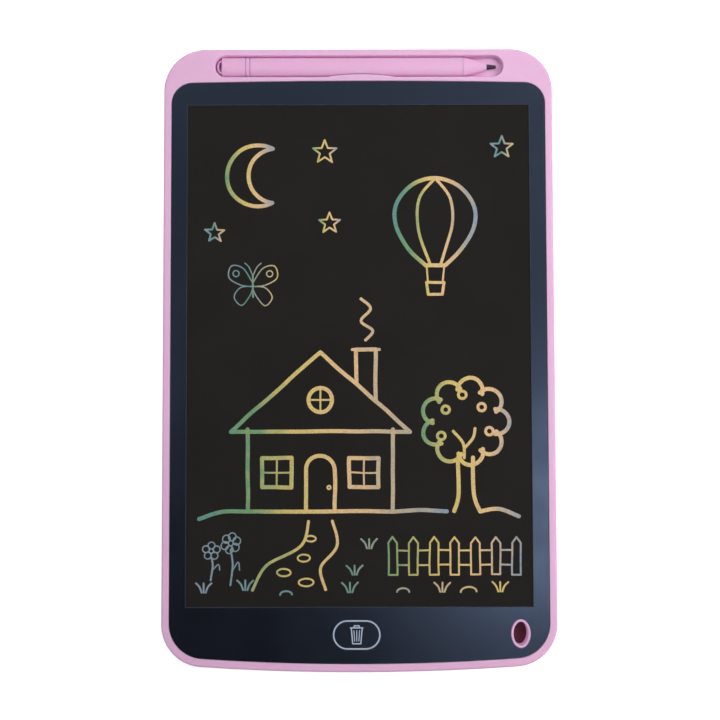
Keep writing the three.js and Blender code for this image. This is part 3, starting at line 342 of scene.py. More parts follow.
# Camera at the photograph's place and angle
CAMERA_DISTANCE = 600.0
CAMERA_TILT = math.radians(3.512)
CAMERA_ROLL = math.radians(-0.1338)
CAMERA_TARGET = Vector((0.5, -1.406, 7.4))
CAMERA_LENS = 72.27
SENSOR_WIDTH = 36.0
CLIP_START = 10.0
CLIP_END = 50000.0

# Facets
QUARTER = math.pi / 2
CORNER_STEPS = 28
BOW_STEPS = 40
ROUND_STEPS = 8
OVAL_STEPS = 72
PEN_STEPS = 112
BUMP_STEPS = 28
SCREW_STEPS = 40
CAP_STEPS = 5
STROKE_STEP = 1.1
STROKE_STEPS = 2
CIRCLE_STEPS = 12
FLAT_NORMAL = 0.95
SMOOTH_ANGLE = math.radians(34)


class Box:
    """A CAD node's box at rest, in millimetres."""

    def __init__(self, node):
        low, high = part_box(node)
        self.low = low / MM
        self.high = high / MM
        self.x, self.y, self.z = (self.low + self.high) / 2
        self.width, self.length, self.height = self.high - self.low
        self.place = (self.x, self.y)


# Places that the frame gives
front_box = Box("front_frame")
film_box = Box("bezel_film")
sheet_box = Box("lcd_front_sheet")
tape_box = Box("mounting_tape")
key_box = Box("erase_key")
cap_box = Box("stylus_end_cap")
band_box = Box("stylus_band")
barrel_box = Box("stylus_barrel")
nib_box = Box("stylus_nib")
door_box = Box("battery_door")
door_screw_box = Box("battery_door_screw")
slider_box = Box("lock_slider")
cell_box = Box("coin_cell")
case_screw_boxes = [Box(f"case_screw_{i}") for i in (1, 2, 3, 4)]
board_screw_boxes = [Box(f"board_screw_{i}") for i in (1, 2)]

half_width = front_box.high.x
half_length = front_box.high.y
film_top = film_box.high.z
film_low = film_box.low.z
body_top = film_top + RIM_STEP
seam_low = SEAM_HEIGHT - SEAM_GAP / 2
seam_high = SEAM_HEIGHT + SEAM_GAP / 2
ledge = sheet_box.high.z
deck_top = tape_box.low.z - GLUE_LINE
deck_low = deck_top - DECK_THICKNESS
window_half_width = sheet_box.high.x - LCD_BORDER
window_low_y = sheet_box.low.y + LCD_BORDER
window_high_y = sheet_box.high.y - LCD_BORDER
tab_x = Box("lcd_flex").x
opening_low, opening_high = frame["record"]["physics"]["openings"][0]["box_m"]
hole_x = (opening_low[0] + opening_high[0]) / 2 / MM
hole_y = (opening_low[1] + opening_high[1]) / 2 / MM
trough_y = barrel_box.y
trough_width = barrel_box.length + 2 * PEN_FIT
bump_y = trough_y - trough_width / 2
bump_radius = (BUMP_LENGTH**2 / 4 + BUMP_REACH**2) / (2 * BUMP_REACH)
key_width = key_box.width - 2 * KEY_FLANGE
key_height = key_box.length - 2 * KEY_FLANGE
pen_width = barrel_box.length
pen_depth = barrel_box.height
pen_z = barrel_box.z
pen_tail_x = cap_box.low.x + EYELET_REACH
cone_end_x = nib_box.high.x - NIB_REACH
door_low_y = door_box.low.y + TONGUE_REACH
door_high_y = door_box.high.y
door_top = door_box.low.z + DOOR_THICKNESS
door_boss_radius = SCREW_HEAD_RADIUS + SCREW_HEAD_FIT + DOOR_BOSS_WALL
post_radius = SCREW_RADIUS + POST_WALL
head_hole_radius = SCREW_HEAD_RADIUS + SCREW_HEAD_FIT
lock_middle_x = slider_box.x + LOCK_TRAVEL / 2
rib_low_y = door_high_y + RIB_DOOR_GAP
rib_high_y = bump_y - RIB_TROUGH_GAP
parts_floor = Box("erase_switch_body").low.z
wall_middle = BACK_WALL / 2
head_top = case_screw_boxes[0].low.z + SCREW_HEAD_HEIGHT
cell_hole_radius = cell_box.width / 2 + CELL_FIT
cap_front_x = band_box.low.x - PEN_SEAM
knob_length = slider_box.width - 2 * SLIDER_FLANGE
knob_width = slider_box.length - 2 * SLIDER_FLANGE
lock_y = slider_box.y
tongue_places = [door_box.x - TONGUE_SPREAD / 2, door_box.x + TONGUE_SPREAD / 2]


# Outlines. Each maker returns a function that gives the points for an inset.
def arc(x, y, across, start, end, steps, along=None):
    """Points round a centre, on an ellipse where a second radius is given."""
    along = across if along is None else along
    turn = (end - start) / steps
    angles = [start + turn * i for i in range(steps + 1)]
    return [(x + across * math.cos(angle), y + along * math.sin(angle)) for angle in angles]


def corner_fit(reach, radius, bow):
    """Centre, drop and lean of a corner that is tangent to its side and to a bowed end."""
    across = reach - radius
    if bow is None:
        return across, radius, 0.0
    along = math.sqrt((bow - radius) ** 2 - across**2)
    return across, bow - along, math.atan2(across, along)


def bowed_plate(reach, low, high, low_corner, high_corner, low_bow, high_bow=None):
    """Straight sides, round corners, and ends that bow outwards."""

    def outline(inset=0.0):
        side = reach - inset
        bottom = low + inset
        top = high - inset
        low_radius = low_corner - inset
        high_radius = high_corner - inset
        low_bend = low_bow - inset
        high_bend = None if high_bow is None else high_bow - inset
        low_x, low_drop, low_lean = corner_fit(side, low_radius, low_bend)
        high_x, high_drop, high_lean = corner_fit(side, high_radius, high_bend)
        low_y = bottom + low_drop
        high_y = top - high_drop
        points = arc(low_x, low_y, low_radius, low_lean - QUARTER, 0, CORNER_STEPS)
        points += arc(high_x, high_y, high_radius, 0, QUARTER - high_lean, CORNER_STEPS)
        if high_bend is not None:
            span = (QUARTER - high_lean, QUARTER + high_lean)
            points += arc(0, top - high_bend, high_bend, *span, BOW_STEPS)[1:-1]
        points += arc(-high_x, high_y, high_radius, QUARTER + high_lean, 2 * QUARTER, CORNER_STEPS)
        points += arc(-low_x, low_y, low_radius, 2 * QUARTER, 3 * QUARTER - low_lean, CORNER_STEPS)
        span = (3 * QUARTER - low_lean, 3 * QUARTER + low_lean)
        return points + arc(0, bottom + low_bend, low_bend, *span, BOW_STEPS)[1:-1]

    return outline


def rounded_box(width, height, corner, x, y):
    """A box whose corners are quarter circles."""

    def outline(inset=0.0):
        radius = corner - inset
        side_x = width / 2 - corner
        side_y = height / 2 - corner
        points = []
        for sign_x, sign_y, turns in ((1, -1, -1), (1, 1, 0), (-1, 1, 1), (-1, -1, 2)):
            centre = (x + sign_x * side_x, y + sign_y * side_y)
            start = turns * QUARTER
            points += arc(*centre, radius, start, start + QUARTER, ROUND_STEPS)
        return points

    return outline


def capsule(width, height, x, y, steps=CORNER_STEPS):
    """A slot with half-round ends."""

    def outline(inset=0.0):
        radius = height / 2 - inset
        side = (width - height) / 2
        right = arc(x + side, y, radius, -QUARTER, QUARTER, 2 * steps)
        return right + arc(x - side, y, radius, QUARTER, 3 * QUARTER, 2 * steps)

    return outline


def oval(width, height, x, y, steps=OVAL_STEPS):
    """An ellipse, or a circle where both sizes are the same."""

    def outline(inset=0.0):
        return arc(x, y, width / 2 - inset, 0, 4 * QUARTER, steps, height / 2 - inset)[:-1]

    return outline


def disc(radius, x, y, steps=OVAL_STEPS):
    return oval(2 * radius, 2 * radius, x, y, steps)


def rectangle(left, right, low, high):
    """A plain box between two corners."""

    def outline(inset=0.0):
        return [
            (left + inset, low + inset),
            (right - inset, low + inset),
            (right - inset, high - inset),
            (left + inset, high - inset),
        ]

    return outline


def bar(width, length, x, y):
    """A plain box round its middle."""
    return rectangle(x - width / 2, x + width / 2, y - length / 2, y + length / 2)


# Heights and insets along an edge
def bend(steps=ROUND_STEPS):
    """Rise and draw along a quarter round of radius 1."""
    angles = [QUARTER * i / steps for i in range(steps + 1)]
    return [(math.sin(angle), 1 - math.cos(angle)) for angle in angles]


def round_over(top, radius):
    """Rows of a body whose upper edge is rounded."""
    return [(top - radius + radius * rise, radius * draw) for rise, draw in bend()]


def round_under(low, radius):
    """Rows of a body whose lower edge is rounded."""
    return [(low + radius - radius * rise, radius * draw) for rise, draw in reversed(bend())]


def flare_up(top, radius, height=None):
    """Rows of a cutter that leaves a rounded upper rim, taller than its radius where height is given."""
    height = radius if height is None else height
    rows = [(top - height + height * rise, -radius * draw) for rise, draw in bend()]
    return rows + [(top + OVERRUN, -radius)]


def flare_down(low, radius):
    """Rows of a cutter that leaves a rounded lower rim."""
    rows = [(low + radius - radius * rise, -radius * draw) for rise, draw in reversed(bend())]
    return [(low - OVERRUN, -radius)] + rows


def shifted(rows, inset):
    return [(z, draw + inset) for z, draw in rows]


# Bodies
def body_from(name, points, faces):
    mesh = bpy.data.meshes.new(name)
    mesh.from_pydata([Vector(point) * MM for point in points], [], faces)
    obj = bpy.data.objects.new(name, mesh)
    bpy.context.scene.collection.objects.link(obj)
    return obj


def loft(name, rings, closed=False):
    """A closed body through rings of points, with flat ends unless it closes on itself."""
    count = len(rings[0])
    points = [point for ring in rings for point in ring]
    faces = []
    for i in range(len(rings) if closed else len(rings) - 1):
        start = i * count
        after = (i + 1) % len(rings) * count
        for j in range(count):
            k = (j + 1) % count
            faces.append((start + j, start + k, after + k, after + j))
    if not closed:
        last = len(points) - count
        faces.append(tuple(reversed(range(count))))
        faces.append(tuple(range(last, last + count)))
    return body_from(name, points, faces)


def stack(name, outline, rows):
    """A closed body through copies of one outline. Each row gives a height and an inset."""
    return loft(name, [[(x, y, z) for x, y in outline(inset)] for z, inset in rows])


def slab(outline, low, high, inset=0.0):
    return stack("slab", outline, [(low, inset), (high, inset)])


def post(radius, low, high, x, y):
    return slab(disc(radius, x, y), low, high)


def settle(obj):
    """Turns an object's modifiers into its mesh."""
    bpy.context.view_layer.update()
    shown = obj.evaluated_get(bpy.context.evaluated_depsgraph_get())
    mesh = bpy.data.meshes.new_from_object(shown)
    obj.modifiers.clear()
    obj.data = mesh


def carve(base, *steps):
    """Joins bodies to a base and cuts bodies from it, in the order given."""
    for operation, tool in steps:
        modifier = base.modifiers.new(operation, "BOOLEAN")
        modifier.operation = operation
        modifier.solver = "MANIFOLD"
        modifier.object = tool
    settle(base)
    for _, tool in steps:
        bpy.data.objects.remove(tool)
    return base


def join(tool):
    return "UNION", tool


def cut(tool):
    return "DIFFERENCE", tool


def smooth(obj):
    obj.data.shade_smooth()
    obj.data.set_sharp_from_angle(angle=SMOOTH_ANGLE)
    normals = obj.modifiers.new("even_normals", "WEIGHTED_NORMAL")
    normals.keep_sharp = True


def dress(obj, material, body, slot, *nodes):
    """Finishes a body: its material, the CAD body that it rides on and the nodes it stands for."""
    obj.data.materials.clear()
    obj.data.materials.append(material)
    smooth(obj)
    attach(obj, body)
    if nodes:
        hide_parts(*nodes)
    return obj


# Outlines that pieces share
body_outline = bowed_plate(half_width, -half_length, half_length, BODY_CORNER, BODY_CORNER, BOTTOM_BOW)
film_outline = bowed_plate(
    film_box.high.x + FILM_FIT,
    film_box.low.y - FILM_FIT,
    film_box.high.y + FILM_FIT,
    BODY_CORNER - RIM_WIDTH,
    FILM_TOP_CORNER,
    BOTTOM_BOW - FILM_BOTTOM_INSET,
    FILM_TOP_BOW,
)
bay_outline = bowed_plate(
    half_width - SIDE_WALL,
    SIDE_WALL - half_length,
    sheet_box.low.y - LCD_FIT - BAY_WALL,
    BODY_CORNER - SIDE_WALL,
    BAY_TOP_CORNER,
    BOTTOM_BOW - SIDE_WALL,
)
trough_outline = capsule(TROUGH_LENGTH, trough_width, TROUGH_X, trough_y)
key_outline = capsule(key_width, key_height, *key_box.place)
hole_outline = oval(HOLE_WIDTH, HOLE_HEIGHT, hole_x, hole_y)
screen_outline = rectangle(sheet_box.low.x, sheet_box.high.x, sheet_box.low.y, sheet_box.high.y)
window_outline = rectangle(-window_half_width, window_half_width, window_low_y, window_high_y)
tab_outline = rectangle(
    tab_x - TAB_WIDTH / 2,
    tab_x + TAB_WIDTH / 2,
    sheet_box.low.y - TAB_LENGTH,
    sheet_box.low.y + LCD_FIT,
)
door_outline = rounded_box(
    door_box.width,
    door_high_y - door_low_y,
    DOOR_CORNER,
    door_box.x,
    (door_high_y + door_low_y) / 2,
)


# Finishes
def toned(colour, amount):
    return tuple(min(channel * amount, 1.0) for channel in colour[:3]) + (1.0,)


class Wiring:
    """Short calls for the nodes of a tree."""

    def __init__(self, tree):
        self.tree = tree

    def add(self, kind, **settings):
        node = self.tree.nodes.new(kind)
        for key, value in settings.items():
            setattr(node, key, value)
        return node

    def wire(self, value, socket):
        """Feeds a socket from a node, or sets it to a plain value."""
        if isinstance(value, bpy.types.NodeSocket):
            self.tree.links.new(value, socket)
        else:
            socket.default_value = value

    def math(self, operation, *values):
        node = self.add("ShaderNodeMath", operation=operation)
        for value, socket in zip(values, node.inputs):
            self.wire(value, socket)
        return node.outputs[0]

    def span(self, factor, low, high, to_low=0.0, to_high=1.0):
        """A factor between two values, as one between two others."""
        node = self.add("ShaderNodeMapRange")
        values = {"Value": factor, "From Min": low, "From Max": high, "To Min": to_low, "To Max": to_high}
        for socket, value in values.items():
            self.wire(value, node.inputs[socket])
        return node.outputs["Result"]


class Finish(Wiring):
    """A material with its main shader, and short calls for what feeds it."""

    def __init__(self, name, **fixed):
        self.material = bpy.data.materials.new(name)
        self.material.use_nodes = True
        super().__init__(self.material.node_tree)
        self.shader = self.tree.nodes["Principled BSDF"]
        self.places = self.add("ShaderNodeTexCoord").outputs
        for socket, value in fixed.items():
            self.link(value, socket.replace("_", " "))

    def link(self, value, socket):
        self.wire(value, self.shader.inputs[socket])

    def scaled(self, scale, shift=(0.0, 0.0, 0.0)):
        """The object's own places times a scale, then shifted."""
        node = self.add("ShaderNodeMapping")
        self.wire(scale, node.inputs["Scale"])
        self.wire(shift, node.inputs["Location"])
        self.wire(self.places["Object"], node.inputs["Vector"])
        return node.outputs["Vector"]

    def noise(self, scale, detail, stretch=None):
        """Cloudy variation. The scale is in features per metre."""
        node = self.add("ShaderNodeTexNoise")
        self.wire(scale, node.inputs["Scale"])
        self.wire(detail, node.inputs["Detail"])
        place = self.scaled(stretch) if stretch else self.places["Object"]
        self.wire(place, node.inputs["Vector"])
        return node.outputs["Fac"]

    def split(self, vector):
        node = self.add("ShaderNodeSeparateXYZ")
        self.wire(vector, node.inputs["Vector"])
        return node.outputs

    def length(self, vector):
        node = self.add("ShaderNodeVectorMath", operation="LENGTH")
        self.wire(vector, node.inputs[0])
        return node.outputs["Value"]

    def ramp(self, factor, stops):
        """Colours along a factor. Each stop gives a share and a colour."""
        node = self.add("ShaderNodeValToRGB")
        elements = node.color_ramp.elements
        for share, _ in stops[1:-1]:
            elements.new(share)
        for element, (share, colour) in zip(elements, stops):
            element.position = share
            element.color = colour
        self.wire(factor, node.inputs["Fac"])
        return node.outputs["Color"]

    def mix(self, share, first, second, blend="MIX"):
        """Two colours mixed by a share."""
        node = self.add("ShaderNodeMix", data_type="RGBA", blend_type=blend)
        sockets = {socket.identifier: socket for socket in [*node.inputs, *node.outputs]}
        self.wire(share, sockets["Factor_Float"])
        self.wire(first, sockets["A_Color"])
        self.wire(second, sockets["B_Color"])
        return sockets["Result_Color"]

    def tones(self, grain, colour, dark, light):
        low, high = GRAIN_SHARES
        return self.ramp(grain, [(low, toned(colour, dark)), (high, toned(colour, light))])

    def mottle(self, grain, colour, dark, light):
        self.link(self.tones(grain, colour, dark, light), "Base Color")

    def roughen(self, grain, roughness, less, more):
        self.link(self.span(grain, *GRAIN_SHARES, roughness - less, roughness + more), "Roughness")

    def relief(self, height, depth, under=None):
        """Relief of the given depth in millimetres, over an earlier one where given."""
        node = self.add("ShaderNodeBump")
        self.wire(depth * MM, node.inputs["Distance"])
        self.wire(height, node.inputs["Height"])
        if under is not None:
            self.wire(under, node.inputs["Normal"])
        self.link(node.outputs["Normal"], "Normal")
        return node.outputs["Normal"]


def moulded_plastic(name, colour, roughness, grain=0.006):
    """Satin plastic from an eroded mould, a little paler on its sharp edges: partly rubbed wear, partly a
    painted edge highlight.
    """
    finish = Finish(
        name,
        Specular_IOR_Level=0.35,
        Subsurface_Weight=GLOW_SHARE,
        Subsurface_Radius=GLOW_SPREAD_SHARES,
        Subsurface_Scale=GLOW_DEPTH * MM,
    )
    tone = finish.tones(finish.noise(scale=28.0, detail=3.0), colour, dark=0.975, light=1.02)
    # Painted edge highlight and wear: paler where the surface is sharp.
    sharpness = finish.add("ShaderNodeNewGeometry").outputs["Pointiness"]
    wear_and_highlight = finish.span(sharpness, *EDGE_SHARPNESS, to_high=EDGE_WEAR_AND_HIGHLIGHT)
    finish.link(finish.mix(wear_and_highlight, tone, toned(colour, WORN_AND_HIGHLIT_TONE)), "Base Color")
    finish.roughen(finish.noise(scale=700.0, detail=4.0), roughness, less=0.05, more=0.06)
    fine = finish.relief(finish.noise(scale=3600.0, detail=3.0), grain)
    finish.relief(finish.noise(scale=60.0, detail=1.0), depth=0.02, under=fine)
    return finish.material


def printed_film(name, colour, roughness):
    """Hard-coated film printed from behind, with faint handling marks in its gloss."""
    finish = Finish(name, Specular_IOR_Level=0.5, Specular_Tint=FILM_TINT)
    finish.mottle(finish.noise(scale=18.0, detail=2.0), colour, dark=0.9, light=1.1)
    finish.roughen(finish.noise(scale=45.0, detail=4.0), roughness, less=0.02, more=0.03)
    finish.relief(finish.noise(scale=1500.0, detail=2.0), depth=0.0008)
    return finish.material


def cut_edge_and_highlight(name, colour):
    """The cut edge of the film's clear base, paler than its print: its own pale colour, and a painted
    highlight where the window's edge catches light.
    """
    finish = Finish(name, Roughness=0.5, Specular_IOR_Level=0.3)
    finish.mottle(finish.noise(scale=2500.0, detail=2.0), colour, dark=0.85, light=1.15)
    return finish.material


def writing_surface(name, colour):
    """Matte pressure-sensitive film with a fine tooth."""
    finish = Finish(name, Specular_IOR_Level=0.04)
    finish.mottle(finish.noise(scale=40.0, detail=4.0), colour, dark=0.92, light=1.08)
    finish.roughen(finish.noise(scale=500.0, detail=3.0), roughness=0.6, less=0.05, more=0.08)
    finish.relief(finish.noise(scale=5200.0, detail=2.0), depth=0.002)
    return finish.material


def drawn_line(name, stops):
    """Lines pressed into the screen: their colour runs from left to right of a drawing."""
    finish = Finish(name, Specular_IOR_Level=0.1, Roughness=0.6)
    across = finish.split(finish.places["Generated"])["X"]
    cloud = finish.noise(scale=130.0, detail=3.0)
    wander = finish.span(cloud, *GRAIN_SHARES, -COLOUR_WANDER, COLOUR_WANDER)
    tone = finish.ramp(finish.math("ADD", across, wander), stops)
    speckle_stops = zip(SPECKLE_SHARES, (toned(WHITE, SPECKLE_TONE), WHITE))
    speckle = finish.ramp(finish.noise(scale=1400.0, detail=3.0), list(speckle_stops))
    finish.link(finish.mix(1.0, tone, speckle, "MULTIPLY"), "Base Color")
    return finish.material


def screen_print(name, colour):
    """Pale ink printed on the key."""
    finish = Finish(name, Specular_IOR_Level=0.3, Roughness=0.45)
    finish.mottle(finish.noise(scale=1800.0, detail=3.0), colour, dark=0.93, light=1.04)
    return finish.material


def metal(name, colour, roughness, brush=(1.0, 1.0, 1.0)):
    """Plated or turned metal with fine marks in its polish."""
    finish = Finish(name, Metallic=1.0)
    finish.mottle(finish.noise(scale=400.0, detail=3.0), colour, dark=0.88, light=1.06)
    marks = finish.noise(scale=1500.0, detail=3.0, stretch=brush)
    finish.roughen(marks, roughness, less=0.08, more=0.12)
    finish.relief(marks, depth=0.003)
    return finish.material


def coarse_matter(name, colour, roughness, scale, depth):
    """Foam, laminate, ceramic or ferrite: a mottled colour over a grain of its own scale."""
    finish = Finish(name, Specular_IOR_Level=0.3)
    grain = finish.noise(scale, detail=4.0)
    finish.mottle(grain, colour, dark=0.88, light=1.12)
    finish.roughen(grain, roughness, less=0.05, more=0.05)
    finish.relief(grain, depth)
    return finish.material


pink_shell = moulded_plastic("pink_shell", SHELL_PINK, roughness=0.42)
pink_pen = moulded_plastic("pink_pen", PEN_PINK, roughness=0.36, grain=0.003)
dark_plastic = moulded_plastic("dark_plastic", srgb(66, 48, 70), roughness=0.45)
film_black = printed_film("film_black", srgb(11, 10, 13), roughness=0.24)
# Painted highlight: the window's cut edge is coloured lighter, where it catches light.
film_edge_and_highlight = cut_edge_and_highlight("film_edge_and_highlight", srgb(44, 54, 64))
screen_black = writing_surface("screen_black", srgb(36, 34, 33))
key_ink = screen_print("key_ink", srgb(176, 190, 212))
steel = metal("steel", srgb(190, 190, 194), roughness=0.32)
cell_steel = metal("cell_steel", srgb(205, 206, 208), roughness=0.24, brush=(1.0, 9.0, 1.0))
tinned = metal("tinned", srgb(208, 204, 192), roughness=0.36)
black_resin = coarse_matter("black_resin", srgb(26, 26, 28), roughness=0.5, scale=2400.0, depth=0.004)
foam = coarse_matter("foam", srgb(214, 210, 200), roughness=0.85, scale=1600.0, depth=0.02)
flex_amber = coarse_matter("flex_amber", srgb(190, 124, 40), roughness=0.35, scale=900.0, depth=0.002)
laminate = coarse_matter("laminate", srgb(34, 108, 60), roughness=0.4, scale=1300.0, depth=0.004)
ceramic = coarse_matter("ceramic", srgb(184, 156, 116), roughness=0.55, scale=2600.0, depth=0.003)
ferrite = coarse_matter("ferrite", srgb(60, 60, 64), roughness=0.6, scale=2600.0, depth=0.006)


# Front shell
def snap_bump():
    """The bump on the trough's lower edge: it swells over the stylus and fades at both ends."""
    centre_y = bump_y + BUMP_REACH - bump_radius
    root_y = bump_y - BUMP_ROOT
    rise = front_box.high.z - body_top
    rings = []
    for i in range(BUMP_STEPS + 1):
        x = BUMP_X + BUMP_LENGTH * (i / BUMP_STEPS - 0.5)
        edge_y = centre_y + math.sqrt(bump_radius**2 - (x - BUMP_X) ** 2)
        swell = math.sin(math.pi * i / BUMP_STEPS)
        crest = body_top - BUMP_SINK + (rise + BUMP_SINK) * swell
        low = body_top - BUMP_DEPTH
        section = [(root_y, low), (bump_y - BUMP_SINK, low), (edge_y, low + BUMP_SLOPE)]
        for across, draw in bend(ROUND_STEPS // 2):
            section.append((edge_y - TROUGH_RIM * draw, crest - TROUGH_RIM + TROUGH_RIM * across))
        section.append((root_y, body_top - BUMP_SINK))
        rings.append([(x, y, z) for y, z in section])
    return loft("bump", rings)


def trough_hollow():
    """The stylus's trough: it leans outwards, and its floor rises under the eyelet and the nib."""
    walls = flare_up(body_top, TROUGH_HUG + TROUGH_RIM, TROUGH_LEAN)
    rows = shifted(round_under(TROUGH_FLOOR, TROUGH_COVE) + walls, TROUGH_HUG)
    left = TROUGH_X - TROUGH_LENGTH / 2 - OVERRUN
    right = TROUGH_X + TROUGH_LENGTH / 2 + OVERRUN
    side = trough_width / 2 + OVERRUN
    eyelet_seat = rectangle(left, pen_tail_x - EYELET_SEAT_GAP, trough_y - side, trough_y + side)
    cone_x = barrel_box.high.x + PEN_SEAM
    foot_x = cone_x + NIB_SEAT_START_SHARE * (cone_end_x - cone_x)
    ramp = [(foot_x, 0.0), (right, 0.0), (right, NIB_SEAT), (cone_end_x, NIB_SEAT), (foot_x, TROUGH_FLOOR)]
    nib_seat = loft("nib_seat", [[(x, y, z) for x, z in ramp] for y in (trough_y + side, trough_y - side)])
    return carve(
        stack("trough", trough_outline, rows),
        cut(slab(eyelet_seat, 0.0, EYELET_SEAT)),
        cut(nib_seat),
    )


def front_frame():
    shell_rows = [(seam_high, SEAM_BREAK), (seam_high + SEAM_BREAK, 0.0), *round_over(body_top, FRONT_ROUND)]
    collar_rows = [(TROUGH_BASE, -HOLE_WALL), *shifted(round_over(body_top, HOLE_OUTER_ROUND), -HOLE_WALL)]
    posts = [post(post_radius, PAD_TOP + GLUE_LINE, deck_top, *box.place) for box in case_screw_boxes]
    posts += [post(post_radius, parts_floor, ledge, *box.place) for box in board_screw_boxes]
    pilots = [
        post(SCREW_RADIUS + SCREW_FIT, 0.0, box.high.z + SCREW_FIT, *box.place)
        for box in case_screw_boxes + board_screw_boxes
    ]
    return carve(
        stack("front_frame_moulding", body_outline, shell_rows),
        cut(slab(body_outline, -OVERRUN, deck_low, SIDE_WALL)),
        cut(slab(bay_outline, -OVERRUN, BAY_ROOF)),
        join(slab(trough_outline, TROUGH_BASE, ledge, -TROUGH_WALL)),
        *[join(body) for body in posts],
        cut(stack("recess", film_outline, [(ledge, 0.0), *flare_up(body_top, RIM_BREAK)])),
        cut(slab(screen_outline, deck_top, body_top, -LCD_FIT)),
        cut(slab(tab_outline, BAY_ROOF - OVERRUN, body_top)),
        cut(slab(key_outline, BAY_ROOF - OVERRUN, body_top, -KEY_FIT)),
        join(stack("collar", hole_outline, collar_rows)),
        cut(stack("hole", hole_outline, [(-OVERRUN, 0.0), *flare_up(body_top, HOLE_INNER_ROUND)])),
        cut(trough_hollow()),
        join(snap_bump()),
        *[cut(body) for body in pilots],
    )


dress(front_frame(), pink_shell, "tablet", "pink_shell", "front_frame")


# Back shell
def ring(name, outline, outer, inner, low, high):
    """A wall between two insets of one outline."""
    hollow = slab(outline, low - OVERRUN, high + OVERRUN, inner)
    return carve(stack(name, outline, [(low, outer), (high, outer)]), cut(hollow))


def ribs():
    """The grid of ribs that holds up the deck behind the screen."""
    length = rib_high_y - rib_low_y
    across = 2 * (half_width - RIB_SIDE_INSET)
    bodies = []
    for share in RIB_WIDTH_SHARES:
        outline = bar(RIB_THICKNESS, length, 2 * half_width * share, rib_low_y + length / 2)
        bodies.append(slab(outline, wall_middle, RIB_TOP))
    for share in RIB_LENGTH_SHARES:
        outline = bar(across, RIB_THICKNESS, 0.0, rib_low_y + share * length)
        bodies.append(slab(outline, wall_middle, RIB_TOP - RIB_STEP))
    return bodies


def cell_ring():
    """The wall round the coin cell, open towards the circuit board."""
    middle_y = (Box("negative_contact").y + Box("positive_contact").y) / 2
    outer = cell_hole_radius + CELL_RING
    mouth = bar(outer, CELL_MOUTH, cell_box.x + outer, middle_y)
    wall = ring("ring", disc(outer, *cell_box.place), 0.0, CELL_RING, BACK_WALL, RIB_TOP)
    return carve(wall, cut(slab(mouth, PAD_TOP, body_top)))


def sunk_hole(outline, depth, margin=0.0):
    """A cutter for a recess in the back, with a broken edge."""
    rows = shifted(flare_down(0.0, RECESS_BREAK), -margin)
    return stack("recess", outline, [*rows, (depth, -margin)])


def door_screw_post():
    """It bridges the hole for the door's boss and takes the door's screw."""
    boss_hole = door_boss_radius + DOOR_BOSS_FIT
    return carve(
        post(boss_hole + POST_WALL, PAD_TOP - POST_LAP, RIB_TOP, *door_screw_box.place),
        cut(post(boss_hole, 0.0, PAD_TOP, *door_screw_box.place)),
        cut(post(SCREW_RADIUS + DOOR_SCREW_SWING, 0.0, body_top, *door_screw_box.place)),
        cut(post(cell_hole_radius, 0.0, body_top, *cell_box.place)),
    )


def tongue_notch(x):
    """Room for a tongue of the door over its whole swing."""
    return bar(TONGUE_WIDTH + 2 * DOOR_FIT, 2 * TONGUE_SWING, x, door_low_y)


def lock_openings():
    """The slot that the slider's knob runs in, and the fingertip scoop round it."""
    slot = rounded_box(
        knob_length + LOCK_TRAVEL + 2 * KNOB_FIT,
        knob_width + 2 * KNOB_FIT,
        KNOB_CORNER,
        lock_middle_x,
        lock_y,
    )
    scoop_length = knob_length + LOCK_TRAVEL + 2 * SCOOP_MARGIN
    scoop = capsule(scoop_length, knob_width + 2 * SCOOP_MARGIN, lock_middle_x, lock_y)
    scoop_rows = flare_down(0.0, RECESS_BREAK) + round_over(SCOOP_DEPTH, SCOOP_COVE)[1:]
    return [cut(slab(slot, -OVERRUN, BACK_WALL + OVERRUN)), cut(stack("scoop", scoop, scoop_rows))]


def back_cover():
    rows = round_under(0.0, BACK_ROUND) + [(seam_low - SEAM_BREAK, 0.0), (seam_low, SEAM_BREAK)]
    lip_outside = SIDE_WALL + LIP_FIT
    lip_inside = lip_outside + LIP_WALL
    screw_places = [box.place for box in case_screw_boxes]
    additions = [
        ring("lip", body_outline, lip_outside, lip_inside, wall_middle, seam_low + LIP_RISE),
        ring("lip_foot", body_outline, SIDE_WALL / 2, lip_inside, wall_middle, seam_low - GLUE_LINE),
        *ribs(),
        *[post(head_hole_radius + POST_WALL, wall_middle, PAD_TOP, x, y) for x, y in screw_places],
        slab(door_outline, wall_middle, PAD_TOP, -DOOR_PAD_MARGIN),
        post(KEY_BOSS, wall_middle, Box("circuit_board").low.z - GLUE_LINE, *key_box.place),
        cell_ring(),
    ]
    openings = [
        *[cut(sunk_hole(disc(head_hole_radius, x, y), head_top)) for x, y in screw_places],
        *[cut(post(SCREW_RADIUS + SCREW_HEAD_FIT, -OVERRUN, body_top, x, y)) for x, y in screw_places],
        cut(sunk_hole(door_outline, BACK_WALL, DOOR_FIT)),
        cut(post(door_boss_radius + DOOR_BOSS_FIT, 0.0, PAD_TOP, *door_screw_box.place)),
        cut(post(cell_hole_radius, 0.0, body_top, *cell_box.place)),
        *[cut(slab(tongue_notch(x), BACK_WALL, PAD_TOP + OVERRUN)) for x in tongue_places],
        *lock_openings(),
        cut(slab(trough_outline, BACK_WALL, body_top, -TROUGH_WALL - TROUGH_SIDE_FIT)),
        cut(slab(hole_outline, BACK_WALL, body_top, -HOLE_WALL - HOLE_FIT)),
        cut(stack("hole", hole_outline, [*flare_down(0.0, HOLE_OUTER_ROUND), (body_top, 0.0)])),
    ]
    return carve(
        stack("back_cover_moulding", body_outline, rows),
        cut(slab(body_outline, BACK_WALL, body_top, SIDE_WALL)),
        *[join(body) for body in additions],
        *openings,
        join(door_screw_post()),
    )


dress(back_cover(), pink_shell, "tablet", "pink_shell", "back_cover")


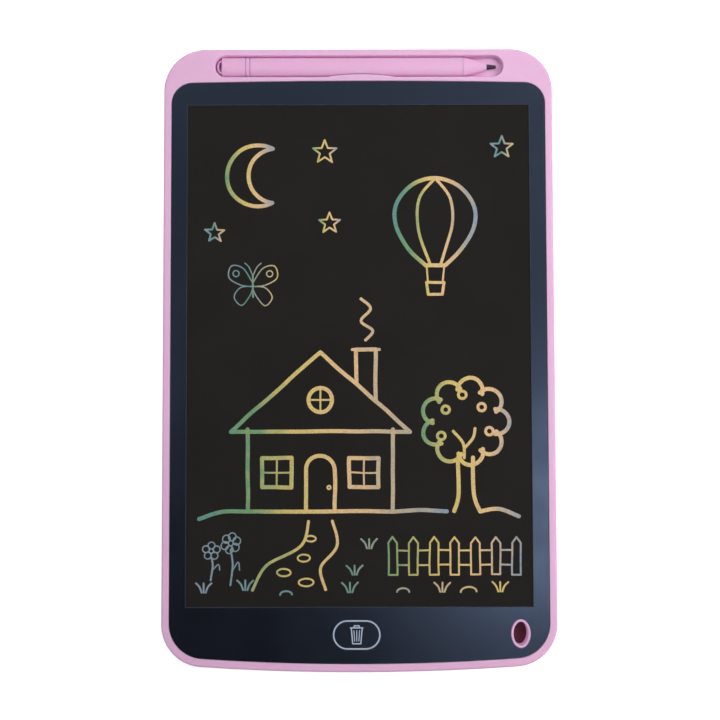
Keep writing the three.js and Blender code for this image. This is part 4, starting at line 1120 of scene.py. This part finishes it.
# Printed film round the screen, and the erase key with its print
def bezel_film():
    through = (film_low - OVERRUN, film_top + OVERRUN)
    rows = [(film_low, 0.0), (film_top - FILM_EDGE_BREAK, 0.0), (film_top, FILM_EDGE_BREAK)]
    window_rows = [
        (film_low - OVERRUN, 0.0),
        (film_top - WINDOW_EDGE_DROP, 0.0),
        (film_top, -WINDOW_EDGE),
        (film_top + OVERRUN, -WINDOW_EDGE),
    ]
    return carve(
        stack("bezel_film_print", film_outline, shifted(rows, FILM_FIT)),
        cut(stack("window", window_outline, window_rows)),
        cut(slab(key_outline, *through, -KEY_FIT)),
        cut(slab(hole_outline, *through, -HOLE_WALL - FILM_FIT)),
    )


def bare_and_highlit_window_edge(film):
    """The faces of the window's cut edge show the film's clear base, with its painted highlight."""
    film.data.materials.append(film_edge_and_highlight)
    for face in film.data.polygons:
        x, y, _ = face.center / MM
        inside_x = abs(x) < window_half_width + WINDOW_EDGE
        inside_y = window_low_y - WINDOW_EDGE < y < window_high_y + WINDOW_EDGE
        if inside_x and inside_y and face.normal.z < FLAT_NORMAL:
            face.material_index = 1


def erase_key():
    low = key_box.low.z
    shell_low = film_top - KEY_SHELL
    rows = [(low, 0.0), (film_top - KEY_BREAK, 0.0), (film_top, KEY_BREAK)]
    return carve(
        stack("erase_key_cap", key_outline, rows),
        join(slab(key_outline, low, low + KEY_FLANGE_THICKNESS, -KEY_FLANGE)),
        cut(slab(key_outline, low - OVERRUN, shell_low, KEY_SHELL)),
        join(post(KEY_BOSS, low, shell_low + GLUE_LINE, *key_box.place)),
    )


bezel = dress(bezel_film(), film_black, "tablet", "printed_film", "bezel_film")
bare_and_highlit_window_edge(bezel)
dress(erase_key(), film_black, "erase_key", "printed_film", "erase_key")
key_line = ring(
    "erase_key_line",
    key_outline,
    KEY_LINE_INSET,
    KEY_LINE_INSET + KEY_LINE,
    film_top - PRINT_SINK,
    film_top + PRINT_THICKNESS,
)
dress(key_line, key_ink, "erase_key", "printed_film")


# Strokes: flat lines of print or of drawing, with round ends
def stations_along(points, width, closed):
    """Places, directions and half widths along a stroke, with its round ends."""
    count = len(points)
    stations = []
    for i, point in enumerate(points):
        before = points[i - 1] if closed or i > 0 else point
        after = points[(i + 1) % count] if closed or i < count - 1 else point
        stations.append((point, (after - before).normalized(), width / 2))
    if closed:
        return stations
    caps = bend(CAP_STEPS)[1:-1]
    start, along, half = stations[0]
    head = [(start - along * half * rise, along, half * (1 - draw)) for rise, draw in reversed(caps)]
    end, along, half = stations[-1]
    tail = [(end + along * half * rise, along, half * (1 - draw)) for rise, draw in caps]
    return head + stations + tail


def stroke(points, width, low, high, closed=False):
    rings = []
    for place, along, half in stations_along(points, width, closed):
        side = Vector((-along.y, along.x)) * half
        left = place + side
        right = place - side
        rings.append([(*right, low), (*left, low), (*left, high), (*right, high)])
    return loft("stroke", rings, closed)


def steps_along(length, least=STROKE_STEPS):
    return max(least, math.ceil(length / STROKE_STEP))


def soft_curve(corners):
    """Points along a smooth curve through the corners."""
    last = len(corners) - 1
    points = []
    for i in range(last):
        a, b, c, d = (corners[min(max(i + shift, 0), last)] for shift in (-1, 0, 1, 2))
        steps = steps_along((c - b).length)
        for step in range(steps):
            t = step / steps
            bent = (2 * a - 5 * b + 4 * c - d) * t**2 + (3 * b - a - 3 * c + d) * t**3
            points.append((2 * b + (c - a) * t + bent) / 2)
    return [*points, corners[-1]]


def straight(start, end):
    steps = steps_along((end - start).length)
    return [start + (end - start) * i / steps for i in range(steps + 1)]


class Sketch:
    """Strokes that become one thin body. Corners are pairs of millimetres from the sketch's place."""

    def __init__(self, name, x, y, base, thickness, sway=0.0):
        self.name = name
        self.place = Vector((x, y))
        self.low = base - PRINT_SINK
        self.high = base + thickness
        self.sway = sway
        self.strokes = []

    def drawn(self, point):
        """The point, moved a little as by an unsteady hand."""
        drift = noise.noise_vector(Vector((*point, 0.0)) * SWAY_PITCH)
        return point + Vector(drift[:2]) * self.sway

    def add(self, points, width, closed=False):
        steady = [self.drawn(self.place + Vector(point)) for point in points]
        self.strokes.append(stroke(steady, width, self.low, self.high, closed))

    def curve(self, width, *corners):
        self.add(soft_curve([Vector(corner) for corner in corners]), width)

    def path(self, width, *corners, closed=False):
        """Straight lines from corner to corner."""
        ends = [Vector(corner) for corner in corners]
        if closed:
            ends.append(ends[0])
        for start, end in zip(ends, ends[1:]):
            self.add(straight(start, end), width)

    def circle(self, width, x, y, across, along=None, start=0.0, end=360.0):
        """A round or oval line. Angles are in degrees, from the right, turning left."""
        closed = end - start >= 360.0
        turn = (math.radians(start), math.radians(end))
        steps = steps_along((turn[1] - turn[0]) * max(across, along or 0.0), CIRCLE_STEPS)
        points = arc(x, y, across, *turn, steps, along)
        self.add(points[:-1] if closed else points, width, closed)

    def body(self):
        first, *others = self.strokes
        first.name = self.name
        return carve(first, *[join(other) for other in others]) if others else first


def mirrored(points):
    """Points on the right, followed back by the same ones on the left."""
    return points + [(-x, y) for x, y in reversed(points)]


def bin_symbol():
    bin_sketch = Sketch("erase_key_bin", *key_box.place, film_top, PRINT_THICKNESS)
    top = BIN_RIM_RISE
    low = top - BIN_HEIGHT
    for share in BIN_RIB_SHARES:
        rib = [(share * BIN_WIDTH, top - BIN_RIB_GAP), (share * BIN_BASE_WIDTH, low + BIN_RIB_GAP)]
        bin_sketch.path(BIN_RIB, *rib)
    bin_sketch.path(BIN_LINE, (-BIN_LID_WIDTH / 2, top), (BIN_LID_WIDTH / 2, top))
    bin_sketch.path(BIN_LINE, *mirrored([(BIN_WIDTH / 2, top), (BIN_BASE_WIDTH / 2, low)]))
    handle = mirrored([(BIN_HANDLE_WIDTH / 2, top), (BIN_HANDLE_TOP / 2, top + BIN_HANDLE_HEIGHT)])
    bin_sketch.path(BIN_LINE, *reversed(handle))
    return bin_sketch.body()


dress(bin_symbol(), key_ink, "erase_key", "printed_film")


# Stylus
def pen_ring(x, width, depth, power):
    """A flattened section across the stylus, from a rounded box to an ellipse."""
    points = []
    for i in range(PEN_STEPS):
        angle = 2 * math.pi * (i + 0.5) / PEN_STEPS
        across = math.copysign(abs(math.cos(angle)) ** (2 / power), math.cos(angle))
        up = math.copysign(abs(math.sin(angle)) ** (2 / power), math.sin(angle))
        points.append((x, trough_y + width / 2 * across, pen_z + depth / 2 * up))
    return points


def round_ring(x, radius):
    return pen_ring(x, 2 * radius, 2 * radius, ROUND_POWER)


def pen_body(name, stations):
    """Stations give x and how far the section is drawn in from the full barrel."""
    rings = [pen_ring(x, pen_width - 2 * inset, pen_depth - 2 * inset, PEN_POWER) for x, inset in stations]
    return loft(name, rings)


def pen_length(start, end, start_round, end_round, steps=1):
    """Stations of a length of the stylus with rounded ends, and more between them where asked."""
    head = [(start + start_round * (1 - rise), start_round * draw) for rise, draw in reversed(bend())]
    middle = [(start + (end - start) * i / steps, 0.0) for i in range(1, steps)]
    tail = [(end - end_round * (1 - rise), end_round * draw) for rise, draw in bend()]
    return head + middle + tail


def pen_bore(start, end, fit=0.0):
    return pen_body("bore", [(start, PEN_WALL + fit), (end, PEN_WALL + fit)])


def shoulder(start, end, inset):
    """The floor of a groove between two lengths of the stylus."""
    return pen_body("shoulder", [(start, inset), (end, inset)])


def half_round(reach, width, stop):
    """A half ellipse behind the stylus's tail."""

    def outline(inset=0.0):
        along = width / 2 - inset
        turn = (QUARTER, 3 * QUARTER)
        points = arc(pen_tail_x, trough_y, reach - inset, *turn, 2 * ROUND_STEPS, along)
        return points + [(stop, trough_y - along), (stop, trough_y + along)]

    return outline


def eyelet():
    low = pen_z - EYELET_THICKNESS / 2
    high = pen_z + EYELET_THICKNESS / 2
    outside = half_round(EYELET_REACH, EYELET_WIDTH, pen_tail_x + CAP_ROUND)
    inside = half_round(EYELET_REACH - EYELET_RIM, EYELET_WIDTH - 2 * EYELET_RIM, pen_tail_x + CAP_ROUND / 4)
    hole_rows = flare_down(low, EYELET_ROUND) + flare_up(high, EYELET_ROUND)
    return carve(
        stack("eyelet", outside, round_under(low, EYELET_ROUND) + round_over(high, EYELET_ROUND)),
        cut(stack("eye", inside, hole_rows)),
    )


def stylus_cap():
    front = cap_front_x
    stations = pen_length(pen_tail_x, front, CAP_ROUND, PEN_EDGE_BREAK)
    return carve(
        pen_body("stylus_cap_moulding", stations),
        join(shoulder(front - SPIGOT_FIT, band_box.low.x - SHOULDER_FIT, GROOVE_DEPTH)),
        join(pen_bore(front - SPIGOT_FIT, band_box.high.x + SPIGOT_LENGTH, SPIGOT_FIT)),
        join(eyelet()),
    )


def stylus_sleeve(name, stations, *additions):
    """A hollow length of the stylus."""
    bore = pen_bore(stations[0][0] - OVERRUN, stations[-1][0] + OVERRUN)
    return carve(pen_body(name, stations), *additions, cut(bore))


def barrel_waist():
    """A cutter that leaves the barrel clear of the snap bump."""
    radius = bump_radius + BUMP_FIT
    centre_y = bump_y + BUMP_REACH - bump_radius
    half = math.sqrt(radius**2 - (bump_y - centre_y) ** 2)
    lean = math.asin(half / radius)
    points = arc(BUMP_X, centre_y, radius, QUARTER - lean, QUARTER + lean, BOW_STEPS)
    points += [(BUMP_X - half, bump_y - BUMP_ROOT), (BUMP_X + half, bump_y - BUMP_ROOT)]
    return slab(lambda inset: points, 0.0, body_top + OVERRUN)


def stylus_cone():
    start = barrel_box.high.x + PEN_SEAM
    rings = []
    for x, draw in pen_length(start, cone_end_x, CONE_EDGE_BREAK, CONE_TIP_ROUND, CONE_STEPS):
        taper = ((x - start) / (cone_end_x - start)) ** CONE_BEND
        width = pen_width + (CONE_TIP - pen_width) * taper - 2 * draw
        depth = pen_depth + (CONE_TIP - pen_depth) * taper - 2 * draw
        power = PEN_POWER + (ROUND_POWER - PEN_POWER) * taper
        rings.append(pen_ring(x, width, depth, power))
    socket_ends = (cone_end_x - NIB_SHAFT - NIB_FIT, cone_end_x + OVERRUN)
    socket = [round_ring(x, NIB_RADIUS + NIB_FIT) for x in socket_ends]
    return carve(
        loft("stylus_cone_moulding", rings),
        join(shoulder(barrel_box.high.x + SHOULDER_FIT, start + SPIGOT_FIT, CONE_GROOVE_DEPTH)),
        join(pen_bore(barrel_box.high.x - SPIGOT_LENGTH, start + SPIGOT_FIT, SPIGOT_FIT)),
        cut(loft("socket", socket)),
    )


def stylus_nib():
    end = nib_box.high.x
    collar_x = cone_end_x + NIB_FIT
    profile = [(nib_box.low.x, NIB_RADIUS), (cone_end_x, NIB_RADIUS), (collar_x, NIB_BASE_RADIUS)]
    profile += [(end - NIB_ROUND * (1 - rise), NIB_TIP_RADIUS - NIB_ROUND * draw) for rise, draw in bend()]
    return loft("stylus_nib_point", [round_ring(x, radius) for x, radius in profile])


dress(stylus_cap(), pink_pen, "stylus", "pink_pen", "stylus_end_cap")
band = stylus_sleeve(
    "stylus_band_sleeve",
    pen_length(band_box.low.x, band_box.high.x, PEN_EDGE_BREAK, PEN_EDGE_BREAK),
    join(shoulder(band_box.high.x - SPIGOT_FIT, barrel_box.low.x - SHOULDER_FIT, GROOVE_DEPTH)),
)
dress(band, pink_pen, "stylus", "pink_pen", "stylus_band")
barrel = stylus_sleeve(
    "stylus_barrel_sleeve",
    pen_length(barrel_box.low.x, barrel_box.high.x, PEN_EDGE_BREAK, CONE_EDGE_BREAK),
)
dress(carve(barrel, cut(barrel_waist())), pink_pen, "stylus", "pink_pen", "stylus_barrel")
dress(stylus_cone(), pink_pen, "stylus", "pink_pen", "stylus_cone")
dress(stylus_nib(), dark_plastic, "stylus", "dark_plastic", "stylus_nib")


# Battery door, lock slider and screws
def battery_door():
    low = door_box.low.z
    tongue_low = BACK_WALL + TONGUE_PLAY
    tongue_high = tongue_low + TONGUE_THICKNESS
    tongues = []
    for x in tongue_places:
        left = x - TONGUE_WIDTH / 2
        right = x + TONGUE_WIDTH / 2
        reach = rectangle(left, right, door_low_y - TONGUE_REACH, door_low_y + TONGUE_ROOT)
        root = rectangle(left, right, door_low_y, door_low_y + TONGUE_ROOT)
        tongues.append(join(slab(reach, tongue_low, tongue_high)))
        tongues.append(join(slab(root, low + DOOR_THICKNESS / 2, tongue_high)))
    grips = []
    for i in range(GRIP_COUNT):
        y = door_screw_box.y - GRIP_DROP - GRIP_PITCH * i
        outline = capsule(GRIP_LENGTH, GRIP_WIDTH, door_screw_box.x, y, ROUND_STEPS)
        grips.append(cut(slab(outline, low - OVERRUN, low + GRIP_DEPTH)))
    head_hole = disc(head_hole_radius, *door_screw_box.place)
    head_rows = [*flare_down(low, RECESS_BREAK), (low + head_top, 0.0)]
    return carve(
        stack("battery_door_moulding", door_outline, round_under(low, DOOR_EDGE_BREAK) + [(door_top, 0.0)]),
        join(post(door_boss_radius, low + DOOR_THICKNESS / 2, PAD_TOP - DOOR_FIT, *door_screw_box.place)),
        *tongues,
        cut(stack("head_hole", head_hole, head_rows)),
        cut(post(SCREW_RADIUS + SCREW_FIT, low - OVERRUN, body_top, *door_screw_box.place)),
        *grips,
    )


def lock_slider():
    x = slider_box.x
    low = slider_box.low.z
    high = slider_box.high.z
    knob = rounded_box(knob_length, knob_width, KNOB_CORNER, x, lock_y)
    flange = bar(slider_box.width + 2 * SLIDER_COVER, slider_box.length, x, lock_y)
    socket = bar(LEVER_SOCKET, LEVER_SOCKET, x, lock_y)
    grooves = []
    for i in range(KNOB_RIB_COUNT):
        middle = x + knob_length * ((i + 1) / (KNOB_RIB_COUNT + 1) - 1 / 2)
        outline = bar(KNOB_RIB_WIDTH, knob_width + 2 * OVERRUN, middle, lock_y)
        grooves.append(cut(slab(outline, low - OVERRUN, low + KNOB_RIB_DEPTH)))
    return carve(
        stack("lock_slider_moulding", knob, round_under(low, KNOB_BREAK) + [(high, 0.0)]),
        join(slab(flange, high - SLIDER_FLANGE_THICKNESS, high)),
        cut(slab(socket, BACK_WALL - SOCKET_DROP, body_top)),
        *grooves,
    )


def screw(name, box):
    """A turned screw with a cross recess. Its head faces the table."""
    low = box.low.z
    rows = round_under(low, SCREW_HEAD_ROUND)
    profile = [(SCREW_HEAD_RADIUS - inset, z) for z, inset in rows]
    profile += [
        (SCREW_HEAD_RADIUS, low + SCREW_HEAD_HEIGHT),
        (SCREW_RADIUS, low + SCREW_HEAD_HEIGHT),
        (SCREW_RADIUS, box.high.z - SCREW_TIP),
        (SCREW_RADIUS / 2, box.high.z),
    ]
    rings = []
    for radius, z in profile:
        outline = disc(radius, *box.place, SCREW_STEPS)
        rings.append([(x, y, z) for x, y in outline()])
    recess_rows = [(low - OVERRUN, 0.0), (low, 0.0), (low + SCREW_CROSS_DEPTH, SCREW_CROSS_TAPER)]
    return carve(
        loft(name, rings),
        cut(stack("recess", bar(SCREW_CROSS_LENGTH, SCREW_CROSS_WIDTH, *box.place), recess_rows)),
        cut(stack("recess", bar(SCREW_CROSS_WIDTH, SCREW_CROSS_LENGTH, *box.place), recess_rows)),
    )


dress(battery_door(), pink_shell, "battery_door", "pink_shell", "battery_door")
dress(lock_slider(), dark_plastic, "lock_slider", "dark_plastic", "lock_slider")
door_screw = screw("battery_door_fastener", door_screw_box)
dress(door_screw, steel, "battery_door", "screw_steel", "battery_door_screw")
for carrier, screw_boxes in (("case", case_screw_boxes), ("board", board_screw_boxes)):
    for number, screw_box in enumerate(screw_boxes, 1):
        fastener = screw(f"{carrier}_fastener_{number}", screw_box)
        dress(fastener, steel, "tablet", "screw_steel", f"{carrier}_screw_{number}")


# CAD nodes that stay as they are, with materials of their own
NODE_FINISHES = {
    "lcd_front_sheet": screen_black,
    "lcd_back_sheet": screen_black,
    "mounting_tape": foam,
    "lcd_flex": flex_amber,
    "erase_switch_body": tinned,
    "erase_switch_plunger": black_resin,
    "circuit_board": laminate,
    "controller_chip": black_resin,
    "capacitor_1": ceramic,
    "capacitor_2": ceramic,
    "boost_inductor": ferrite,
    "lock_switch_body": tinned,
    "lock_switch_lever": black_resin,
    "coin_cell": cell_steel,
    "negative_contact": tinned,
    "positive_contact": tinned,
}
for node_name, finish in NODE_FINISHES.items():
    frame["nodes"][node_name].material_slots[0].material = finish


# The drawing on the screen: a house, a tree, a fence and a garden, and a balloon, the moon, stars
# and a butterfly above them. Each motif is drawn from its own place.
wide_line = drawn_line("wide_line", WIDE_STOPS)
warm_line = drawn_line("warm_line", WARM_STOPS)
cool_line = drawn_line("cool_line", COOL_STOPS)
noise.seed_set(SWAY_SEED)


def sketch(name, x, y):
    return Sketch(name, x, y, ledge, LINE_THICKNESS, HAND_SWAY)


def house():
    """Walls and roof, chimney and smoke, a door, windows, the ground and a path with stones."""
    stones = ((-4, -11, 2.2), (-7, -19, 2.6), (-15, -25, 2.8), (-6, -29, 3.0))
    art = sketch("drawn_house", -16.0, -64.0)
    art.path(BOLD, (-30, 34), (-30, 0), (30, 0), (30, 34))
    art.path(BOLD, (-37, 33), (0, 66), (37, 33), closed=True)
    art.path(BOLD, (15, 53), (15, 67), (23, 67), (23, 46))
    art.path(MEDIUM, (13.5, 67), (24.5, 67))
    art.circle(BOLD, 0, 46, 5)
    art.path(FINE, (-5, 46), (5, 46))
    art.path(FINE, (0, 41), (0, 51))
    art.path(BOLD, (-6, 0), (-6, 17))
    art.circle(BOLD, 0, 17, 6, end=180.0)
    art.path(BOLD, (6, 17), (6, 0))
    art.circle(FINE, 3.4, 10, 0.7)
    for x in (-18, 18):
        art.path(BOLD, (x - 6, 10), (x + 6, 10), (x + 6, 22), (x - 6, 22), closed=True)
        art.path(FINE, (x, 10), (x, 22))
        art.path(FINE, (x - 6, 16), (x + 6, 16))
    art.curve(MEDIUM, (19, 71), (22, 75), (17, 79), (21, 84), (17, 88))
    art.curve(BOLD, (-50, -3), (-40, 0), (-30, 0))
    art.curve(BOLD, (30, 0), (42, 0.6), (52, 0))
    art.curve(MEDIUM, (-5, -4), (-8, -14), (-22, -22), (-28, -32))
    art.curve(MEDIUM, (5, -4), (7, -14), (0, -23), (2, -32))
    for x, y, across in stones:
        art.circle(FINE, x, y, across, across * 0.55)
    return art.body()


def tree():
    """A trunk with branches, and a crown of round lobes with fruit in it."""
    crown_height = 37
    crown_radius = 13.0
    lobe_radius = 5.2
    lobe_reach = 96
    fruit = ((-8, 42), (7, 43), (-1, 48), (10, 33), (-10, 31))
    art = sketch("drawn_tree", 44.0, -64.0)
    art.curve(BOLD, (-5, 0), (-3, 7), (-3.2, 22))
    art.curve(BOLD, (6, 0), (3.6, 7), (3.2, 22))
    art.curve(MEDIUM, (-0.5, 22), (-1, 28), (-5, 33))
    art.curve(MEDIUM, (-0.5, 26), (3, 30), (4, 34))
    art.curve(BOLD, (6, 0), (14, 1), (22, -2))
    for lobe in range(TREE_LOBES):
        turn = 360.0 * lobe / TREE_LOBES
        x = crown_radius * math.cos(math.radians(turn))
        y = crown_height + crown_radius * math.sin(math.radians(turn))
        art.circle(BOLD, x, y, lobe_radius, start=turn - lobe_reach, end=turn + lobe_reach)
    for x, y in fruit:
        art.circle(MEDIUM, x, y, 1.6)
    return art.body()


def fence():
    art = sketch("drawn_fence", 12.0, -90.0)
    pitch = 8.5
    width = 3.6
    gap = 0.2
    picket = [(0, 0), (0, 13), (width / 2, 15.4), (width, 13), (width, 0)]
    for i in range(FENCE_PICKETS):
        art.path(FINE, *[(pitch * i + x, y) for x, y in picket], closed=True)
    for y in (4, 10):
        for i in range(FENCE_PICKETS - 1):
            art.path(FINE, (pitch * i + width + gap, y), (pitch * i + pitch - gap, y))
    return art.body()


def flower(art, x, y, height, petals, reach):
    """A stem, round petals about an eye, and a leaf."""
    art.curve(FINE, (x, y), (x + 0.8, y + height / 2), (x, y + height - reach))
    for petal in range(petals):
        angle = math.radians(360.0 * petal / petals + 18)
        centre = (x + reach * math.cos(angle), y + height + reach * math.sin(angle))
        art.circle(HAIR, *centre, reach * PETAL_SHARE)
    art.circle(HAIR, x, y + height, reach * FLOWER_EYE_SHARE)
    art.curve(HAIR, (x + 0.4, y + height * 0.3), (x + 3, y + height * 0.55), (x + 3.6, y + height * 0.35))


def garden():
    """Two flowers, tufts of grass and half-round stones along the lower edge."""
    tufts = ((-64, -97), (-47, -96), (-4, -97), (4, -79), (-2, -90), (34, -97), (58, -97))
    stones = ((18, -97, 2.6), (45, -97, 3.2), (-30, -98, 2.4))
    art = sketch("drawn_garden", 0.0, 0.0)
    flower(art, -61, -92, height=12, petals=5, reach=2.3)
    flower(art, -53, -94, height=17, petals=6, reach=2.6)
    for x, y in tufts:
        for lean in (-2.2, 0.0, 2.2):
            art.curve(FINE, (x + lean * 0.4, y), (x + lean * 0.8, y + 2.2), (x + lean * 1.5, y + 3.8))
    for x, y, across in stones:
        art.circle(FINE, x, y, across, across * 0.6, end=180.0)
    return art.body()


def balloon():
    art = sketch("drawn_balloon", 32.0, 58.0)
    envelope = [(0, 17), (9.5, 14), (16, 6), (16.4, -3), (11, -13), (4, -20)]
    art.curve(BOLD, *[(-x, y) for x, y in reversed(envelope[1:])], *envelope)
    art.path(BOLD, (-4, -20), (4, -20))
    for side in (-1, 1):
        art.curve(MEDIUM, (0, 17), (side * 6.5, 8), (side * 7, -4), (side * 2, -20))
        art.path(FINE, (side * 3.6, -20), (side * 3, -27))
    art.path(MEDIUM, (-3.6, -27), (3.6, -27), (2.9, -32), (-2.9, -32), closed=True)
    return art.body()


def moon():
    art = sketch("drawn_moon", -42.0, 76.0)
    art.circle(BOLD, 0, 0, 13, start=62, end=298)
    art.circle(BOLD, 7.7, 0, 11.6, start=99, end=261)
    return art.body()


def star(number, x, y, reach):
    art = sketch(f"drawn_star_{number}", x, y)
    corners = []
    for i in range(2 * STAR_POINTS):
        angle = QUARTER + math.pi * i / STAR_POINTS
        radius = reach * STAR_INNER_SHARE if i % 2 else reach
        corners.append((radius * math.cos(angle), radius * math.sin(angle)))
    art.path(FINE, *corners, closed=True)
    return art.body()


def butterfly():
    art = sketch("drawn_butterfly", -44.0, 30.0)
    upper_wing = [(0, 1), (4, 7), (9, 8), (10, 3), (5, 0), (0, -0.5)]
    lower_wing = [(0, -0.5), (5, -1), (8, -5), (5, -8.5), (1.6, -5), (0, -1.5)]
    for side in (-1, 1):
        for wing in (upper_wing, lower_wing):
            art.curve(HAIR, *[(side * x, y) for x, y in wing])
        art.circle(HAIR, side * 7, 4.8, 1.3)
        art.curve(HAIR, (0, 4), (side * 1.6, 7.5), (side * 3.4, 9.2))
    art.path(FINE, (0, 4), (0, -5))
    return art.body()


DRAWN = [
    (house(), wide_line),
    (tree(), warm_line),
    (fence(), warm_line),
    (garden(), cool_line),
    (balloon(), wide_line),
    (moon(), warm_line),
    (star(1, -14, 86, 5.2), warm_line),
    (star(2, -60, 52, 4.2), cool_line),
    (star(3, -12, 56, 4.6), warm_line),
    (star(4, 60, 88, 4.8), cool_line),
    (butterfly(), cool_line),
]
for motif, line_finish in DRAWN:
    dress(motif, line_finish, "tablet", "screen_film")


# Stage: a pale floor with a painted contact shade under the tablet, and a wide card overhead that only
# reflections show
def square_sheet(name, reach, z):
    corners = [(-reach, -reach, z), (reach, -reach, z), (-reach, reach, z), (reach, reach, z)]
    return body_from(name, corners, [(0, 1, 3, 2)])


def footprint(finish):
    """1 on the floor under the tablet, 0 outside its rounded outline: the mask of the painted contact shade.
    """
    places = finish.split(finish.places["Object"])
    past_corner = finish.add("ShaderNodeCombineXYZ")
    for axis, reach in (("X", half_width), ("Y", half_length)):
        side = finish.math("ABSOLUTE", places[axis])
        past = finish.math("SUBTRACT", side, (reach - BODY_CORNER) * MM)
        finish.wire(finish.math("MAXIMUM", past, 0.0), past_corner.inputs[axis])
    edge = (BODY_CORNER - SHADE_INSET) * MM
    return finish.span(finish.length(past_corner.outputs[0]), edge - SHADE_FADE * MM, edge, 1.0, 0.0)


def floor_material():
    """Pale floor with a painted contact shade under the tablet, that fades to white away from the tablet.

    It glows only for the rays that look at it or mirror it, and is clear from below.
    """
    finish = Finish("floor", Roughness=0.9, Specular_IOR_Level=0.0, Emission_Color=WHITE)
    under = footprint(finish)
    # Painted contact shade: the floor's colour turns dark under the tablet.
    finish.link(finish.ramp(under, [(0.0, FLOOR_COLOUR), (1.0, PAINTED_CONTACT_SHADE)]), "Base Color")
    distance = finish.length(finish.places["Object"])
    glow = finish.span(distance, GLOW_NEAR * MM, GLOW_FAR * MM, GLOW_LOW, 1.0)
    path = finish.add("ShaderNodeLightPath").outputs
    shown = finish.math("MAXIMUM", path["Is Camera Ray"], path["Is Transmission Ray"])
    # Painted shade: under the tablet the floor does not glow to the camera, and glows less in reflections.
    shown = finish.math("MULTIPLY", shown, finish.span(under, 0.0, 1.0, 1.0, 0.0))
    mirrored_share = finish.span(under, 0.0, 1.0, 1.0, UNDER_GLOSS)
    mirrored_light = finish.math("MULTIPLY", path["Is Glossy Ray"], mirrored_share)
    share = finish.math("MAXIMUM", shown, mirrored_light)
    finish.link(finish.math("MULTIPLY", glow, share), "Emission Strength")
    choice = finish.add("ShaderNodeMixShader")
    faces = (
        finish.add("ShaderNodeNewGeometry").outputs["Backfacing"],
        finish.shader.outputs[0],
        finish.add("ShaderNodeBsdfTransparent").outputs[0],
    )
    for output, socket in zip(faces, choice.inputs):
        finish.wire(output, socket)
    finish.wire(choice.outputs[0], finish.tree.nodes["Material Output"].inputs["Surface"])
    return finish.material


def card_material():
    """Brightness of the overhead card: soft patches over a dim ground."""
    finish = Finish("overhead_card", Base_Color=BLACK, Specular_IOR_Level=0.0, Emission_Color=WHITE)
    total = CARD_GROUND
    for x, y, reach_x, reach_y, peak in CARD_PATCHES:
        scale = (1 / (reach_x * MM), 1 / (reach_y * MM), 0.0)
        patch = finish.add("ShaderNodeTexGradient", gradient_type="QUADRATIC_SPHERE")
        place = finish.scaled(scale, shift=(-x / reach_x, -y / reach_y, 0.0))
        finish.wire(place, patch.inputs["Vector"])
        total = finish.math("MULTIPLY_ADD", patch.outputs["Fac"], peak, total)
    finish.link(total, "Emission Strength")
    return finish.material


floor = square_sheet("floor", FLOOR_REACH, -FLOOR_DROP)
floor.data.materials.append(floor_material())
card = square_sheet("overhead_card", CARD_REACH, CARD_HEIGHT)
card.data.materials.append(card_material())
for ray in ("camera", "diffuse", "transmission", "shadow", "volume_scatter"):
    setattr(card, f"visible_{ray}", False)


# Light
def soft_box(name, place, size, power):
    """A square lamp that faces the tablet and shows only by its light."""
    light = bpy.data.lights.new(name, "AREA")
    light.shape = "SQUARE"
    light.size = size * MM
    light.energy = power
    lamp = bpy.data.objects.new(name, light)
    lamp.location = Vector(place) * MM
    lamp.rotation_euler = (-Vector(place)).to_track_quat("-Z", "Y").to_euler()
    lamp.visible_camera = False
    lamp.visible_glossy = False
    bpy.context.scene.collection.objects.link(lamp)
    return lamp


def light_world():
    """The world lights the object at a low level, and shows as a white background."""
    world = bpy.data.worlds.new("studio")
    world.use_nodes = True
    wiring = Wiring(world.node_tree)
    background = wiring.tree.nodes["Background"].inputs
    wiring.wire(WHITE, background["Color"])
    path = wiring.add("ShaderNodeLightPath").outputs
    seen = wiring.math("MAXIMUM", path["Is Camera Ray"], path["Is Glossy Ray"])
    seen = wiring.math("MAXIMUM", seen, path["Is Transmission Ray"])
    wiring.wire(wiring.span(seen, 0.0, 1.0, WORLD_LEVEL, 1.0), background["Strength"])
    bpy.context.scene.world = world


def light_back(lamp):
    """Light from under the floor reaches only the tablet, for views of its back."""
    pieces = bpy.data.collections.new("tablet_pieces")
    for obj in bpy.data.objects:
        if obj.type == "MESH" and obj not in (floor, card):
            pieces.objects.link(obj)
    lamp.light_linking.receiver_collection = pieces
    lamp.light_linking.blocker_collection = pieces


light_world()
soft_box("key_light", *KEY_LIGHT)
soft_box("fill_light", *FILL_LIGHT)
light_back(soft_box("under_light", *UNDER_LIGHT))


# Camera
def set_camera():
    ahead = Vector((0.0, math.sin(CAMERA_TILT), -math.cos(CAMERA_TILT)))
    level_right = Vector((1.0, 0.0, 0.0))
    level_up = level_right.cross(ahead)
    right = level_right * math.cos(CAMERA_ROLL) + level_up * math.sin(CAMERA_ROLL)
    up = level_up * math.cos(CAMERA_ROLL) - level_right * math.sin(CAMERA_ROLL)
    data = bpy.data.cameras.new("camera")
    data.lens = CAMERA_LENS
    data.sensor_width = SENSOR_WIDTH
    data.clip_start = CLIP_START * MM
    data.clip_end = CLIP_END * MM
    camera = bpy.data.objects.new("camera", data)
    place = (CAMERA_TARGET - ahead * CAMERA_DISTANCE) * MM
    camera.matrix_world = Matrix.Translation(place) @ Matrix((right, up, -ahead)).transposed().to_4x4()
    bpy.context.scene.collection.objects.link(camera)
    bpy.context.scene.camera = camera


set_camera()
bpy.context.scene.view_settings.view_transform = "Standard"
